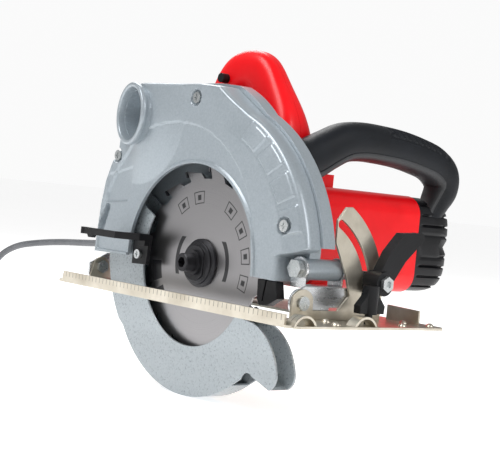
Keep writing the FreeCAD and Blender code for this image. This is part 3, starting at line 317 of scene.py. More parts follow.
def moulded_plastic(name, low, high, roughness, grain_size, grain, coat=0.0, specular=0.5):
    """Moulded plastic: even colour with faint flow marks and a fine eroded grain."""
    material, tree, shader = start_material(name, 0.0, roughness, coat, 0.12)
    shader.inputs["Specular IOR Level"].default_value = specular
    marks = use_group(tree, MOTTLE, Size=30.0)
    shade(tree, marks.outputs["Value"], low, high, shader.inputs["Base Color"])
    vary(tree, marks.outputs["Value"], roughness - 0.04, roughness + 0.06, shader.inputs["Roughness"])
    skin = use_group(tree, MOTTLE, Size=grain_size)
    bump(tree, shader, skin.outputs["Fine"], grain, 0.0003)
    return material


def plated_sheet(name, low, high, roughness, stretch):
    """Zinc-plated steel: cloudy bright and warm patches with faint rolling lines."""
    material, tree, shader = start_material(name, 0.92, roughness)
    clouds = use_group(tree, MOTTLE, Size=38.0)
    shade(tree, clouds.outputs["Value"], low, high, shader.inputs["Base Color"])
    lines = use_group(tree, BRUSHED, Stretch=stretch)
    vary(tree, lines.outputs["Value"], roughness - 0.10, roughness + 0.16, shader.inputs["Roughness"])
    bump(tree, shader, lines.outputs["Value"], 0.03, 0.0002)
    return material


def turned_metal(name, low, high, roughness, metallic=1.0):
    """Turned or ground steel: fine rings round the arbor."""
    material, tree, shader = start_material(name, metallic, roughness)
    rings = use_group(tree, TURNED, Rings=1800.0)
    shade(tree, rings.outputs["Value"], low, high, shader.inputs["Base Color"])
    vary(tree, rings.outputs["Value"], roughness - 0.08, roughness + 0.12, shader.inputs["Roughness"])
    bump(tree, shader, rings.outputs["Value"], 0.08, 0.0002)
    return material


def band_mask(tree, value, middle, half_width, soft=0.0001):
    """1 where a value lies within a band, 0 outside."""
    away = add_node(tree, "ShaderNodeMath", operation="SUBTRACT")
    away.inputs[1].default_value = middle
    tree.links.new(value, away.inputs[0])
    size = add_node(tree, "ShaderNodeMath", operation="ABSOLUTE")
    tree.links.new(away.outputs[0], size.inputs[0])
    inside = add_node(tree, "ShaderNodeMapRange")
    inside.inputs["From Min"].default_value = half_width - soft
    inside.inputs["From Max"].default_value = half_width + soft
    inside.inputs["To Min"].default_value = 1.0
    inside.inputs["To Max"].default_value = 0.0
    tree.links.new(size.outputs[0], inside.inputs["Value"])
    return inside.outputs["Result"]


def combine(tree, operation, first, second):
    """Two masks, or a mask and a number, joined by an operation and kept within 0 and 1."""
    node = add_node(tree, "ShaderNodeMath", operation=operation, use_clamp=True)
    tree.links.new(first, node.inputs[0])
    if isinstance(second, (int, float)):
        node.inputs[1].default_value = second
    else:
        tree.links.new(second, node.inputs[1])
    return node.outputs[0]


def blade_steel():
    """Ground saw steel printed with two short arcs, square frames in two groups and plain blocks."""
    material, tree, shader = start_material("blade_steel", 1.0, 0.32)
    rings = use_group(tree, TURNED, Rings=2600.0)
    ground = shade(tree, rings.outputs["Value"], (0.22, 0.215, 0.22), (0.46, 0.45, 0.46),
        shader.inputs["Base Color"])
    radius = rings.outputs["Radius"]
    place = add_node(tree, "ShaderNodeTexCoord")
    centre = add_node(tree, "ShaderNodeVectorMath", operation="SUBTRACT")
    centre.inputs[1].default_value = tuple(ARBOR)
    tree.links.new(place.outputs["Object"], centre.inputs[0])
    parts = add_node(tree, "ShaderNodeSeparateXYZ")
    tree.links.new(centre.outputs[0], parts.inputs[0])
    angle = add_node(tree, "ShaderNodeMath", operation="ARCTAN2")
    tree.links.new(parts.outputs["Z"], angle.inputs[0])
    tree.links.new(parts.outputs["X"], angle.inputs[1])
    arcs = band_mask(tree, radius, 0.0325, 0.0022)
    side = band_mask(tree, parts.outputs["Z"], 0.004, 0.016, 0.0003)
    short_arcs = combine(tree, "MULTIPLY", arcs, side)
    right_group = band_mask(tree, angle.outputs[0], 0.42, 0.78, 0.02)
    left_group = band_mask(tree, angle.outputs[0], 1.98, 0.34, 0.02)
    groups = combine(tree, "MAXIMUM", right_group, left_group)
    low_group = band_mask(tree, angle.outputs[0], -2.86, 0.26, 0.01)
    blocks = combine(tree, "MULTIPLY", band_mask(tree, radius, 0.060, 0.0065), low_group)
    repeat = combine_wave(tree, angle.outputs[0], 16.0)
    frames_band = band_mask(tree, radius, 0.0545, 0.0052)
    frames_hole = band_mask(tree, radius, 0.0545, 0.0044)
    tick = band_mask(tree, repeat, 0.5, 0.30, 0.01)
    tick_hole = band_mask(tree, repeat, 0.5, 0.26, 0.01)
    outer = combine(tree, "MULTIPLY", frames_band, tick)
    inner = combine(tree, "MULTIPLY", frames_hole, tick_hole)
    frames = combine(tree, "MULTIPLY", combine(tree, "SUBTRACT", outer, inner), groups)
    gaps = band_mask(tree, repeat, 0.5, 0.36, 0.01)
    dot = combine(tree, "MULTIPLY", band_mask(tree, radius, 0.0545, 0.0022),
                  band_mask(tree, repeat, 0.5, 0.10, 0.02))
    dots = combine(tree, "MULTIPLY", dot, groups)
    blocks = combine(tree, "MULTIPLY", blocks, gaps)
    ink = combine(tree, "MAXIMUM", combine(tree, "MAXIMUM", short_arcs, blocks),
                  combine(tree, "MAXIMUM", frames, dots))
    paint = add_node(tree, "ShaderNodeMix", data_type="RGBA")
    paint.inputs[7].default_value = (0.012, 0.012, 0.014, 1)
    tree.links.new(ink, paint.inputs[0])
    tree.links.new(ground.outputs[2], paint.inputs[6])
    tree.links.new(paint.outputs[2], shader.inputs["Base Color"])
    vary(tree, ink, 1.0, 0.0, shader.inputs["Metallic"])
    vary(tree, rings.outputs["Value"], 0.22, 0.42, shader.inputs["Roughness"])
    bump(tree, shader, rings.outputs["Value"], 0.07, 0.0002)
    return material


def combine_wave(tree, angle, count):
    """How far along one of a number of equal steps round the circle an angle is, 0..1."""
    steps = add_node(tree, "ShaderNodeMath", operation="MULTIPLY")
    steps.inputs[1].default_value = count / (2 * math.pi)
    tree.links.new(angle, steps.inputs[0])
    part = add_node(tree, "ShaderNodeMath", operation="FRACT")
    tree.links.new(steps.outputs[0], part.inputs[0])
    return part.outputs[0]


def ruled_sheet(name, low, high, roughness, stretch, axis, step, near, far):
    """Plated sheet with a printed scale: short black ticks at equal steps along one axis."""
    material = plated_sheet(name, low, high, roughness, stretch)
    tree = material.node_tree
    shader = tree.nodes["Principled BSDF"]
    plain = shader.inputs["Base Color"].links[0].from_socket
    place = add_node(tree, "ShaderNodeTexCoord")
    parts = add_node(tree, "ShaderNodeSeparateXYZ")
    tree.links.new(place.outputs["Object"], parts.inputs[0])
    along = combine_wave(tree, parts.outputs[axis], 2 * math.pi / step)
    ticks = band_mask(tree, along, 0.5, 0.05, 0.03)
    height = band_mask(tree, parts.outputs["Z"], (near + far) / 2, (far - near) / 2)
    near_flange = band_mask(tree, parts.outputs["Y"], base_low.y, 0.012)
    ink = combine(tree, "MULTIPLY", combine(tree, "MULTIPLY", ticks, height), near_flange)
    paint = add_node(tree, "ShaderNodeMix", data_type="RGBA")
    paint.inputs[7].default_value = (0.17, 0.155, 0.13, 1)
    tree.links.new(ink, paint.inputs[0])
    tree.links.new(plain, paint.inputs[6])
    tree.links.new(paint.outputs[2], shader.inputs["Base Color"])
    return material


SILVER = painted_casting("silver_enamel", (0.31, 0.355, 0.39), (0.38, 0.425, 0.46), 0.34, coat=0.2)
SILVER_LOW = painted_casting("swing_guard_enamel", (0.29, 0.33, 0.355), (0.41, 0.45, 0.475), 0.30, coat=0.3)
CASE_CAST = painted_casting("gear_case_casting", (0.36, 0.37, 0.38), (0.50, 0.51, 0.52), 0.42,
    metallic=0.8, peel=0.25)
RED = moulded_plastic("red_shell", (0.82, 0.0, 0.004), (0.92, 0.001, 0.006), 0.34, 120.0, 0.04,
    coat=0.12, specular=0.3)
BLACK = moulded_plastic("black_moulding", (0.002, 0.0022, 0.003), (0.006, 0.006, 0.008), 0.40, 220.0, 0.25,
                        specular=0.3)
SOFT_BLACK = moulded_plastic("soft_overmould", (0.002, 0.003, 0.005), (0.006, 0.008, 0.012), 0.46,
    260.0, 0.35,
                             specular=0.28)
UNDERSIDE = moulded_plastic("dark_underside", (0.018, 0.019, 0.021), (0.032, 0.034, 0.038), 0.48, 220.0,
    0.2)
# the lead's sheath is black rubber; its mid grey colour here, far lighter than the black mouldings, is
# painted highlight
LEAD_GREY_PAINTED_HIGHLIGHT = moulded_plastic("lead_sheath_painted_highlight", (0.10, 0.105, 0.115), (0.15, 0.155, 0.165), 0.55, 260.0, 0.2)
SHEET = plated_sheet("plated_sheet", (0.54, 0.49, 0.40), (0.76, 0.71, 0.61), 0.30, (60.0, 700.0, 700.0))
BLUE_SHEET = plated_sheet("plated_carrier", (0.58, 0.60, 0.62), (0.84, 0.85, 0.86), 0.26,
    (500.0, 60.0, 500.0))
BRIGHT = plated_sheet("plated_fastener", (0.44, 0.47, 0.48), (0.70, 0.72, 0.72), 0.26,
    (400.0, 400.0, 400.0))
BLADE = blade_steel()
CARBIDE = turned_metal("carbide_tip", (0.10, 0.10, 0.11), (0.22, 0.22, 0.23), 0.35)
BLACKED = turned_metal("blackened_steel", (0.010, 0.010, 0.012), (0.045, 0.045, 0.050), 0.38, metallic=0.6)
STEEL = turned_metal("machined_steel", (0.45, 0.45, 0.46), (0.68, 0.68, 0.69), 0.28)
IRON = painted_casting("varnished_iron", (0.10, 0.10, 0.11), (0.16, 0.15, 0.14), 0.45, metallic=0.7)
COPPER = plated_sheet("enamelled_copper", (0.55, 0.20, 0.08), (0.80, 0.36, 0.16), 0.32,
    (900.0, 60.0, 900.0))
CARBON = painted_casting("sintered_carbon", (0.012, 0.012, 0.012), (0.03, 0.03, 0.03), 0.6, metallic=0.1)
base_low, base_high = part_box("base_plate")
RULED = ruled_sheet("ruled_base", (0.54, 0.49, 0.40), (0.76, 0.71, 0.61), 0.30, (60.0, 700.0, 700.0),
    "X", 0.005,
                    base_low.z + 5 * MM, base_low.z + 9.0 * MM)

FINISH = {
    "guard_cover": SILVER, "guard_housing": SILVER, "lower_guard": SILVER_LOW, "gear_case": CASE_CAST,
    "motor_housing": RED, "handle_left": RED, "handle_right": RED, "motor_end_cap": BLACK,
    "switch_unit": BLACK,
    "bevel_clamp_lever": BLACK, "depth_clamp_lever": BLACK, "guard_lever": BLACK, "brush_holders": BLACK,
    "cooling_fan": BLACK, "front_insert": BLACK, "fence_wing_screw": BLACK, "auxiliary_handle": SOFT_BLACK,
    "handle_grip": SOFT_BLACK, "strain_relief": SOFT_BLACK, "handle_underside": UNDERSIDE, "trigger": BLACK,
    "lock_off_button": BLACK, "spindle_lock_button": BLACK, "base_plate": RULED, "bevel_quadrant": SHEET,
    "carrier_plate": BLUE_SHEET, "hinge_bracket": BLUE_SHEET, "rear_pivot_bracket": BLUE_SHEET,
    "rear_base_ear": SHEET, "depth_arc": BLUE_SHEET, "cover_screws": BRIGHT, "lever_screw": BRIGHT,
    "depth_hinge_bolt": BRIGHT, "depth_hinge_nut": BRIGHT, "bevel_rivet": BRIGHT,
    "bevel_clamp_bolt": BRIGHT,
    "rear_pivot_bolt": BRIGHT, "plate_rivets": SHEET, "depth_clamp_bolt": BRIGHT, "blade": BLADE,
    "carbide_tips": CARBIDE, "arbor_bolt": BLACKED, "outer_flange": BLACKED, "inner_flange": BLACKED,
    "spindle": STEEL, "spindle_gear": STEEL, "armature_shaft": STEEL, "spindle_bearings": STEEL,
    "armature_bearings": STEEL, "guard_spring": STEEL, "armature_core": IRON, "stator": IRON,
    "armature_winding": COPPER, "commutator": COPPER, "carbon_brushes": CARBON, "cord_tie": BLACK,
    "mains_plug": BLACK,
}
for name, material in FINISH.items():
    mesh = frame["nodes"][name].data
    mesh.materials.clear()
    mesh.materials.append(material)
lead.data.materials.append(LEAD_GREY_PAINTED_HIGHLIGHT)


# ---------------------------------------------------------------- surfaces

def new_piece(name, mesh, material, body, node_names, sharp=40):
    """Links a mesh as a piece that rides on a body and stands for CAD pieces."""
    mesh.polygons.foreach_set("use_smooth", np.ones(len(mesh.polygons), bool))
    mesh.materials.append(material)
    mesh.set_sharp_from_angle(angle=math.radians(sharp))
    piece = bpy.data.objects.new(name, mesh)
    bpy.context.scene.collection.objects.link(piece)
    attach(piece, body)
    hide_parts(*node_names)
    return piece


def tube_mesh(name, rings, ring_closes=False):
    """Joins closed profiles, an array of rings by points by 3. The last ring joins the first, or
    one face closes each end."""
    count, around = rings.shape[:2]
    index = np.arange(count * around).reshape(count, around)
    here, there = (index, np.roll(index, -1, 0)) if ring_closes else (index[:-1], index[1:])
    quads = np.stack([here, np.roll(here, -1, 1), np.roll(there, -1, 1), there], -1).reshape(-1, 4)
    ends = [] if ring_closes else [index[0][::-1].tolist(), index[-1].tolist()]
    mesh = bpy.data.meshes.new(name)
    mesh.from_pydata(rings.reshape(-1, 3), [], quads.tolist() + ends)
    work = bmesh.new()
    work.from_mesh(mesh)
    bmesh.ops.remove_doubles(work, verts=work.verts, dist=0.002 * MM)
    bmesh.ops.recalc_face_normals(work, faces=work.faces)
    work.to_mesh(mesh)
    work.free()
    return mesh


def from_arbor(points):
    """Points in millimetres about the arbor, as an array, to metres in the frame."""
    return np.asarray(points, float) * MM + np.array(ARBOR)


def blend_rows(rows, places, closed):
    """Rows of numbers followed smoothly by a Catmull-Rom curve, read at places counted in rows."""
    rows = np.asarray(rows, float)
    first = np.floor(places).astype(int)
    part = (places - first)[:, None]
    reach = (lambda i: i % len(rows)) if closed else (lambda i: np.clip(i, 0, len(rows) - 1))
    a, b, c, d = (rows[reach(first + k)] for k in (-1, 0, 1, 2))
    return 0.5 * (2 * b + (c - a) * part + (2 * a - 5 * b + 4 * c - d) * part ** 2
                  + (3 * b - a - 3 * c + d) * part ** 3)


def rounded(value, power):
    """A sine or cosine made squarer, the power of its size with its own sign."""
    return np.sign(value) * np.abs(value) ** power


# ---------------------------------------------------------------- D-handle

# the ring's sections: outer edge x z, inner edge x z, half width
HANDLE_SECTIONS = [
    (43, 80, 22, 96, 21), (49, 106, 20, 107, 20), (44, 128, 12, 119, 16), (26, 154, 1, 132, 13),
    (7, 176, -9, 142, 12), (-14, 183, -16, 146, 12.5), (-35, 179, -24, 143, 14.5), (-49, 166, -31, 132, 16),
    (-62, 138, -40, 114, 17), (-78, 104, -50, 94, 17), (-93, 68, -59, 75, 17), (-98, 38, -61, 64, 17),
    (-91, 15, -56, 60, 16), (-64, 28, -50, 61, 15), (-35, 38, -46, 70, 15), (-30, 74, -36, 88, 16),
    (0, 74, -8, 95, 18),
]
HANDLE_MIDDLE = 50.0
HANDLE_SQUARE = 0.72


def handle_points(places, turn, grow):
    """Points on the D-handle. A place runs round the ring's sections, and the turn runs round a
    squared oval between the outer and the inner edge, grown by a distance. At 90 degrees it is
    on the outer edge."""
    rows = blend_rows(HANDLE_SECTIONS, places, True)
    outer, inner, half_width = rows[:, 0:2], rows[:, 2:4], rows[:, 4:5]
    middle, across = (outer + inner) / 2, (outer - inner) / 2
    half = np.linalg.norm(across, axis=1, keepdims=True)
    rise = (half + grow) * rounded(np.sin(turn), HANDLE_SQUARE)[None, :]
    points = middle[:, None, :] + (across / half)[:, None, :] * rise[..., None]
    y = HANDLE_MIDDLE + (half_width + grow) * rounded(np.cos(turn), HANDLE_SQUARE)[None, :]
    return np.stack([points[..., 0], y, points[..., 1]], -1)


def handle_shells():
    """Each shell is half of the oval, from edge to edge, carried all round the ring and closed
    by the flat where the shells meet."""
    places = np.arange(260) * len(HANDLE_SECTIONS) / 260
    for side, node_name in ((-1, "handle_left"), (1, "handle_right")):
        turn = np.linspace(-np.pi / 2, np.pi / 2, 44)
        turn = turn if side > 0 else np.pi - turn
        points = handle_points(places, turn, 0.0)
        points[..., 1] += side * 0.12
        mesh = tube_mesh(node_name + "_shell", from_arbor(points), True)
        new_piece(node_name + "_shell", mesh, RED, "saw_body", [node_name])


def rear_grip():
    """The back of the D-handle again, grown by the thickness of the soft skin, with ridges
    across it and a face sunk below the shell."""
    places = np.linspace(8.0, 11.7, 120)
    turn = np.radians(np.linspace(42, 138, 40))
    skin = handle_points(places, turn, 0.9)
    under = handle_points(places, turn[::-1], -1.2)
    ridges = 0.35 * np.cos(2 * np.pi * places * 7)[:, None] * np.sin(np.linspace(0, np.pi, 40))[None, :]
    skin[..., 0] -= ridges
    mesh = tube_mesh("rear_grip", from_arbor(np.concatenate([skin, under], 1)))
    new_piece("rear_grip", mesh, SOFT_BLACK, "saw_body", ["handle_grip"])


# ---------------------------------------------------------------- loop handle

LOOP_X = 62.0
LOOP_ROUTE = [
    (22, 87), (34, 89.5), (48, 93), (66, 102), (84, 110), (104, 113), (128, 113), (154, 111.5), (178, 108),
    (199, 103), (213, 94), (216, 82), (210, 70), (204, 60), (201, 52),
]


def loop_frame():
    """The loop's centre line, the direction square to it in its plane, and distance along it."""
    line = blend_rows(LOOP_ROUTE, np.linspace(0, len(LOOP_ROUTE) - 1.001, 240), False)
    step = np.gradient(line, axis=0)
    along = step / np.linalg.norm(step, axis=1, keepdims=True)
    normal = np.stack([-along[:, 1], along[:, 0]], 1)
    run = np.linalg.norm(np.diff(line, axis=0), axis=1)
    return line, normal, np.concatenate([[0], np.cumsum(run)])


def loop_rings(across, rise):
    """Profiles, arrays of sideways and upward distance, set square to the loop's line."""
    line, normal, _ = loop_frame()
    flat = line[:, None, :] + normal[:, None, :] * rise[..., None]
    return from_arbor(np.stack([LOOP_X + across, flat[..., 0], flat[..., 1]], -1))


def loop_handle():
    """A squared oval carried along the loop's line, thick where it leaves the gear case and slim
    behind the hand. A framed panel with slanted bars is let into its outer face."""
    _, _, distance = loop_frame()
    turn = np.linspace(0, 2 * np.pi, 108, endpoint=False)
    degrees, s = np.degrees(turn)[None, :], distance[:, None]
    swell = 1 + 0.12 * smooth_step((60 - s) / 60) - 0.30 * smooth_step((s - 196) / 46)
    inside = smooth_step((s - 112) / 1.6) * smooth_step((190 - s) / 1.6)
    inside = inside * smooth_step((degrees - 20) / 4) * smooth_step((66 - degrees) / 4)
    field = smooth_step((s - 116) / 1.4) * smooth_step((186 - s) / 1.4)
    field = field * smooth_step((degrees - 27) / 3) * smooth_step((59 - degrees) / 3)
    bars = smooth_step((0.15 + 0.5 * np.cos(2 * np.pi * (s + 0.25 * degrees) / 8.0)) / 0.3)
    scale = swell * (1 - (1.1 * inside - 1.0 * field * bars) / 16.0)
    across = 15.0 * rounded(np.cos(turn), 0.86)[None, :] * scale
    rise = np.maximum(16.4 * rounded(np.sin(turn), 0.9)[None, :] * scale, -9.0 * swell)
    mesh = tube_mesh("loop_handle", loop_rings(across, rise))
    new_piece("loop_handle", mesh, SOFT_BLACK, "saw_body", ["auxiliary_handle"], 34)


def loop_underside():
    """A half oval under the loop, carried along the same line."""
    _, _, distance = loop_frame()
    swell = 1 + 0.12 * smooth_step((60 - distance) / 60) - 0.30 * smooth_step((distance - 196) / 46)
    low = np.linspace(np.pi, 2 * np.pi, 60)
    across = 13.6 * np.cos(low)[None, :] * swell[:, None]
    rise = (-9.1 + 7.4 * rounded(np.sin(low), 0.8))[None, :] * swell[:, None]
    mesh = tube_mesh("loop_underside", loop_rings(across, rise))
    new_piece("loop_underside", mesh, UNDERSIDE, "saw_body", ["handle_underside"], 34)


# ---------------------------------------------------------------- motor end cap

CAP_START, CAP_END = 178.3, 232.0
CAP_MIDDLE_X, CAP_MIDDLE_Z = 23.0, 30.25
CAP_HALF_WIDTH, CAP_HALF_HEIGHT = 50.7, 42.0
CAP_RIDGE = 8.9
CAP_GROOVE = 2.3
CAP_SQUARE = 0.42


def end_cap():
    """Rounded rectangles carried along the motor's line. They close in over the end like a
    quarter ellipse, and level grooves run round the cap."""
    level = np.concatenate([np.linspace(0, 0.45, 12),
        0.45 + 0.55 * np.sin(np.linspace(0.02, np.pi / 2, 48))])
    part = np.clip((level - 0.45) / 0.55, 0, 1)
    close = 1 - np.sqrt(np.clip(1 - part ** 2.6, 0, 1))
    turn = np.linspace(0, 2 * np.pi, 420, endpoint=False)
    wide = (CAP_HALF_WIDTH - 24 * close)[:, None]
    tall = (CAP_HALF_HEIGHT - 27 * close)[:, None]
    z = tall * rounded(np.sin(turn), CAP_SQUARE)[None, :]
    groove = 1 - smooth_step((np.abs(np.sin(np.pi * z / CAP_RIDGE)) - 0.08) / 0.34)
    depth = CAP_GROOVE * groove * smooth_step((level - 0.07) / 0.05)[:, None]
    x = (wide - depth) * rounded(np.cos(turn), CAP_SQUARE)[None, :]
    y = CAP_START + (CAP_END - CAP_START) * level[:, None] - depth * part[:, None]
    rings = np.stack([CAP_MIDDLE_X + x, np.broadcast_to(y, x.shape), CAP_MIDDLE_Z + z], -1)
    mesh = tube_mesh("ribbed_cap", from_arbor(rings))
    new_piece("ribbed_cap", mesh, BLACK, "saw_body", ["motor_end_cap"], 50)


# ---------------------------------------------------------------- guard cover

COVER_FACE, COVER_BACK, COVER_SKIN = -17.3, 4.0, 3.0
COVER_EDGE = [(54.7, 122.9), (38, 133), (20, 144.4), (-4, 146.4), (-82, 146), (-94, 143.5), (-103, 135),
              (-108, 119), (-109.5, 90), (-118.5, 75.5), (-125, 60), (-129, 40), (-131, 18), (-132.5, -3)]
COVER_SCREWS = [(-8, 134.5), (-110, 83), (111, 39)]
PORT_X, PORT_Z, PORT_BORE = -81.4, 119.0, 22.6


def cover_reach(angle):
    """How far the cover's edge is from the arbor at an angle in radians: the foot's front, then
    the round front, then straight runs between the outline's corners."""
    corners = np.array(COVER_EDGE, float)
    corner_angle = np.arctan2(corners[:, 1], corners[:, 0]) % (2 * np.pi)
    runs = np.linspace(0, len(corners) - 1, 600)
    x = np.interp(runs, np.arange(len(corners)), corners[:, 0])
    z = np.interp(runs, np.arange(len(corners)), corners[:, 1])
    far = np.interp(angle, np.arctan2(z, x) % (2 * np.pi), np.hypot(x, z))
    foot = 106 / np.cos(np.clip(angle, -0.1, 0.3))
    front = foot + (134.5 - foot) * smooth_step((np.degrees(angle) - 8.2) / 2.0)
    return np.where(angle < corner_angle[0], front, far)


def cover_height(x, z):
    """How far the cover's face lies towards the blade side at a point. A sloped rim, raised
    blocks on it, a step round the opening, the port's cone, screw wells and a slot add up."""
    r, degrees = np.hypot(x, z), np.degrees(np.arctan2(z, x))
    slope = smooth_step((degrees + 4) / 3) * smooth_step((78 - degrees) / 22)
    height = -7.0 * slope * np.clip((r - 114) / 20.5, 0, 1)
    for low, high in ((15.5, 25.5), (28, 38), (40.5, 50.5), (53, 63)):
        block = smooth_step((degrees - low) / 0.8) * smooth_step((high - degrees) / 0.8)
        height = height + 1.5 * block * smooth_step((r - 115.5) / 1.2) * smooth_step((131.5 - r) / 1.2)
    step_line = np.hypot(x + 24, z - 10)
    height = height - 1.5 * smooth_step((104.5 - step_line) / 1.6) * smooth_step((degrees - 14) / 10)
    height = height + 1.4 * smooth_step((84.5 - r) / 1.2)
    from_port = np.hypot(x - PORT_X, z - PORT_Z)
    height = height + 6.5 * np.clip(1 - (from_port - 25.6) / 34, 0, 1) * smooth_step((x + 100) / 30)
    side = np.minimum(np.minimum(z - 44 - 0.1 * (x + 90), 71 + 0.25 * (x + 100) - z), x + 121)
    height = height - 1.1 * smooth_step(side / 1.0) * smooth_step((-88 - x + 0.2 * (z - 58)) / 1.0)
    along = np.clip(((x + 118.9) * -6.7 + (z - 36.6) * -19.2) / (6.7 ** 2 + 19.2 ** 2), 0, 1)
    from_slot = np.hypot(x + 118.9 + 6.7 * along, z - 36.6 + 19.2 * along)
    height = height - 4.5 * smooth_step((3.8 - from_slot) / 1.0)
    for screw_x, screw_z in COVER_SCREWS:
        height = height - 3.2 * smooth_step((6.9 - np.hypot(x - screw_x, z - screw_z)) / 1.0)
    return height - 14.0 * smooth_step((PORT_BORE - from_port) / 1.2)


def guard_cover():
    """The cover's face is a height over the angle round the arbor and the share of the way from
    the opening to the edge. It rounds over the edge, runs back as a wall, and the same skin
    lies a wall's thickness behind it."""
    angle = np.radians(np.linspace(-1.62, 181.3, 520))[:, None]
    reach = cover_reach(angle)
    share = np.linspace(0, 1, 74)[None, :]
    r = 81 + (reach - 81) * share
    x, z = r * np.cos(angle), r * np.sin(angle)
    rounding = 2.6
    near_edge = np.clip(1 - (reach - r) / rounding, 0, 1)
    roll = rounding * (1 - np.sqrt(np.clip(1 - near_edge ** 2, 0, 1)))
    face = COVER_FACE - cover_height(x, z) + roll
    rim = face[:, -1:]
    wall = rim + (COVER_BACK - rim) * np.linspace(0.2, 1, 5)[None, :]
    rim_x, rim_z = np.repeat(x[:, -1:], 5, 1), np.repeat(z[:, -1:], 5, 1)
    inner_r = 81 + (reach - COVER_SKIN - 81) * share[:, ::-1]
    inner_x, inner_z = inner_r * np.cos(angle), inner_r * np.sin(angle)
    inner_face = np.minimum(COVER_FACE - cover_height(inner_x, inner_z) + COVER_SKIN, COVER_BACK - 0.5)
    hem_x, hem_z = inner_x[:, :1], inner_z[:, :1]
    rings = np.stack([
        np.concatenate([x, rim_x, hem_x, inner_x], 1),
        np.concatenate([face, wall, np.full_like(hem_x, COVER_BACK), inner_face], 1),
        np.concatenate([z, rim_z, hem_z, inner_z], 1)], -1)
    mesh = tube_mesh("cover_casting", from_arbor(rings))
    new_piece("cover_casting", mesh, SILVER, "saw_body", ["guard_cover"], 32)


def dust_port():
    """A tube's wall and rounded lip, turned about the port's tilted line."""
    radius = np.array([25.4, 25.6, 25.7, 26.2, 26.8, 26.9, 26.7, 26.0, 24.6, 23.2, 22.7, 22.6, 22.6])
    depth = np.array([20.0, 8.0, 6.2, 5.0, 4.2, 2.4, 0.9, 0.1, 0.0, 0.3, 1.2, 8.0, 26.0])
    tilt = np.array([-0.208, -0.978, 0.0])
    side, up = np.array([0.978, -0.208, 0.0]), np.array([0.0, 0.0, 1.0])
    turn = np.linspace(0, 2 * np.pi, 160, endpoint=False)
    spoke = np.cos(turn)[:, None] * side + np.sin(turn)[:, None] * up
    mouth = np.array([-84.0, -28.0, 119.0])
    rings = mouth + spoke[:, None, :] * radius[None, :, None] - tilt * depth[None, :, None]
    mesh = tube_mesh("dust_port", from_arbor(rings), True)
    new_piece("dust_port", mesh, SILVER, "saw_body", ["guard_cover"], 50)


# ---------------------------------------------------------------- eased copies of the CAD pieces

SHARP = math.radians(28)


def eased(name, width):
    """A merged copy of a CAD piece whose sharp edges are rounded off, as casting, moulding or
    pressing leaves them. The copy rides on the piece's own body and stands for it."""
    source = frame["nodes"][name]
    mesh = bpy.data.meshes.new(name + "_shape")
    work = bmesh.new()
    work.from_mesh(source.data)
    bmesh.ops.remove_doubles(work, verts=work.verts, dist=0.004 * MM)
    bmesh.ops.dissolve_limit(work, angle_limit=math.radians(0.4), verts=work.verts, edges=work.edges)
    for face in work.faces:
        face.smooth = True
    for edge in work.edges:
        edge.smooth = edge.is_manifold and edge.calc_face_angle(0.0) < SHARP
    work.to_mesh(mesh)
    work.free()
    piece = bpy.data.objects.new(name + "_shape", mesh)
    bpy.context.scene.collection.objects.link(piece)
    mesh.materials.append(FINISH[name])
    rounding = piece.modifiers.new("rounding", "BEVEL")
    rounding.width = width * MM
    rounding.segments = 3
    rounding.limit_method = "ANGLE"
    rounding.angle_limit = SHARP
    rounding.use_clamp_overlap = True
    rounding.harden_normals = True
    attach(piece, source["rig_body"])
    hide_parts(name)
    return piece


EASED = {
    "guard_housing": 0.9, "lower_guard": 0.5, "motor_housing": 1.2,
    "gear_case": 1.0, "guard_lever": 0.6, "bevel_clamp_lever": 2.4,
    "fence_wing_screw": 1.5, "carrier_plate": 0.3, "hinge_bracket": 0.3, "bevel_quadrant": 0.3,
    "base_plate": 0.35, "outer_flange": 0.5, "arbor_bolt": 0.5, "depth_hinge_bolt": 0.5,
    "depth_hinge_nut": 0.5,
    "front_insert": 0.5, "rear_pivot_bracket": 0.3, "trigger": 1.2, "depth_clamp_lever": 1.2,
}
for name, width in EASED.items():
    eased(name, width)
handle_shells()
rear_grip()
loop_handle()
loop_underside()
end_cap()
guard_cover()
dust_port()


# ---------------------------------------------------------------- stage

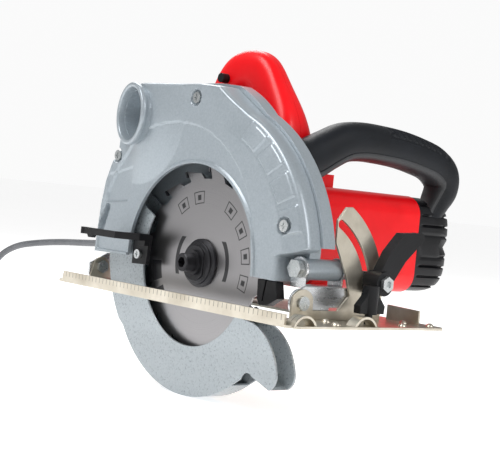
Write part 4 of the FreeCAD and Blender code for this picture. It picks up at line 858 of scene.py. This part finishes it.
def add_light(name, place, target, size, power):
    """A soft rectangular light aimed at a point."""
    data = bpy.data.lights.new(name, "AREA")
    data.shape = "RECTANGLE"
    data.size, data.size_y = size
    data.energy = power
    light = bpy.data.objects.new(name, data)
    bpy.context.scene.collection.objects.link(light)
    light.location = place
    light.rotation_mode = "QUATERNION"
    light.rotation_quaternion = (Vector(target) - Vector(place)).to_track_quat("-Z", "Y")


def add_stage():
    """The pale floor, the lights and the white surroundings."""
    mesh = bpy.data.meshes.new("floor")
    reach = 30.0
    mesh.from_pydata([(-reach, -reach, 0), (reach, -reach, 0), (reach, reach, 0), (-reach, reach, 0)],
        [], [(0, 1, 2, 3)])
    floor = bpy.data.objects.new("floor", mesh)
    bpy.context.scene.collection.objects.link(floor)
    material, tree, shader = start_material("pale_floor", 0.0, 0.75)
    marks = use_group(tree, MOTTLE, Size=2.0)
    shade(tree, marks.outputs["Value"], (0.90, 0.90, 0.90), (0.93, 0.93, 0.93), shader.inputs["Base Color"])
    shader.inputs["Emission Color"].default_value = (1, 1, 1, 1)
    shader.inputs["Emission Strength"].default_value = 0.60
    mesh.materials.append(material)
    world = bpy.data.worlds.new("studio")
    world.use_nodes = True
    sky = world.node_tree
    seen = add_node(sky, "ShaderNodeLightPath")
    strength = add_node(sky, "ShaderNodeMapRange")
    strength.inputs["To Min"].default_value = 0.36
    strength.inputs["To Max"].default_value = 0.96
    sky.links.new(seen.outputs["Is Camera Ray"], strength.inputs["Value"])
    sky.links.new(strength.outputs["Result"], sky.nodes["Background"].inputs["Strength"])
    sky.nodes["Background"].inputs["Color"].default_value = (1, 1, 1, 1)
    bpy.context.scene.world = world
    bpy.context.scene.view_settings.view_transform = "Standard"
    add_light("key", (-0.2, -1.1, 1.5), (0, 0, 0.15), (1.1, 0.7), 20)
    add_light("front", (1.7, 0.3, 1.1), (0, 0, 0.15), (0.5, 1.0), 12)
    add_light("rim", (-1.2, 0.6, 1.4), (0, 0, 0.2), (0.9, 0.9), 12)


add_stage()
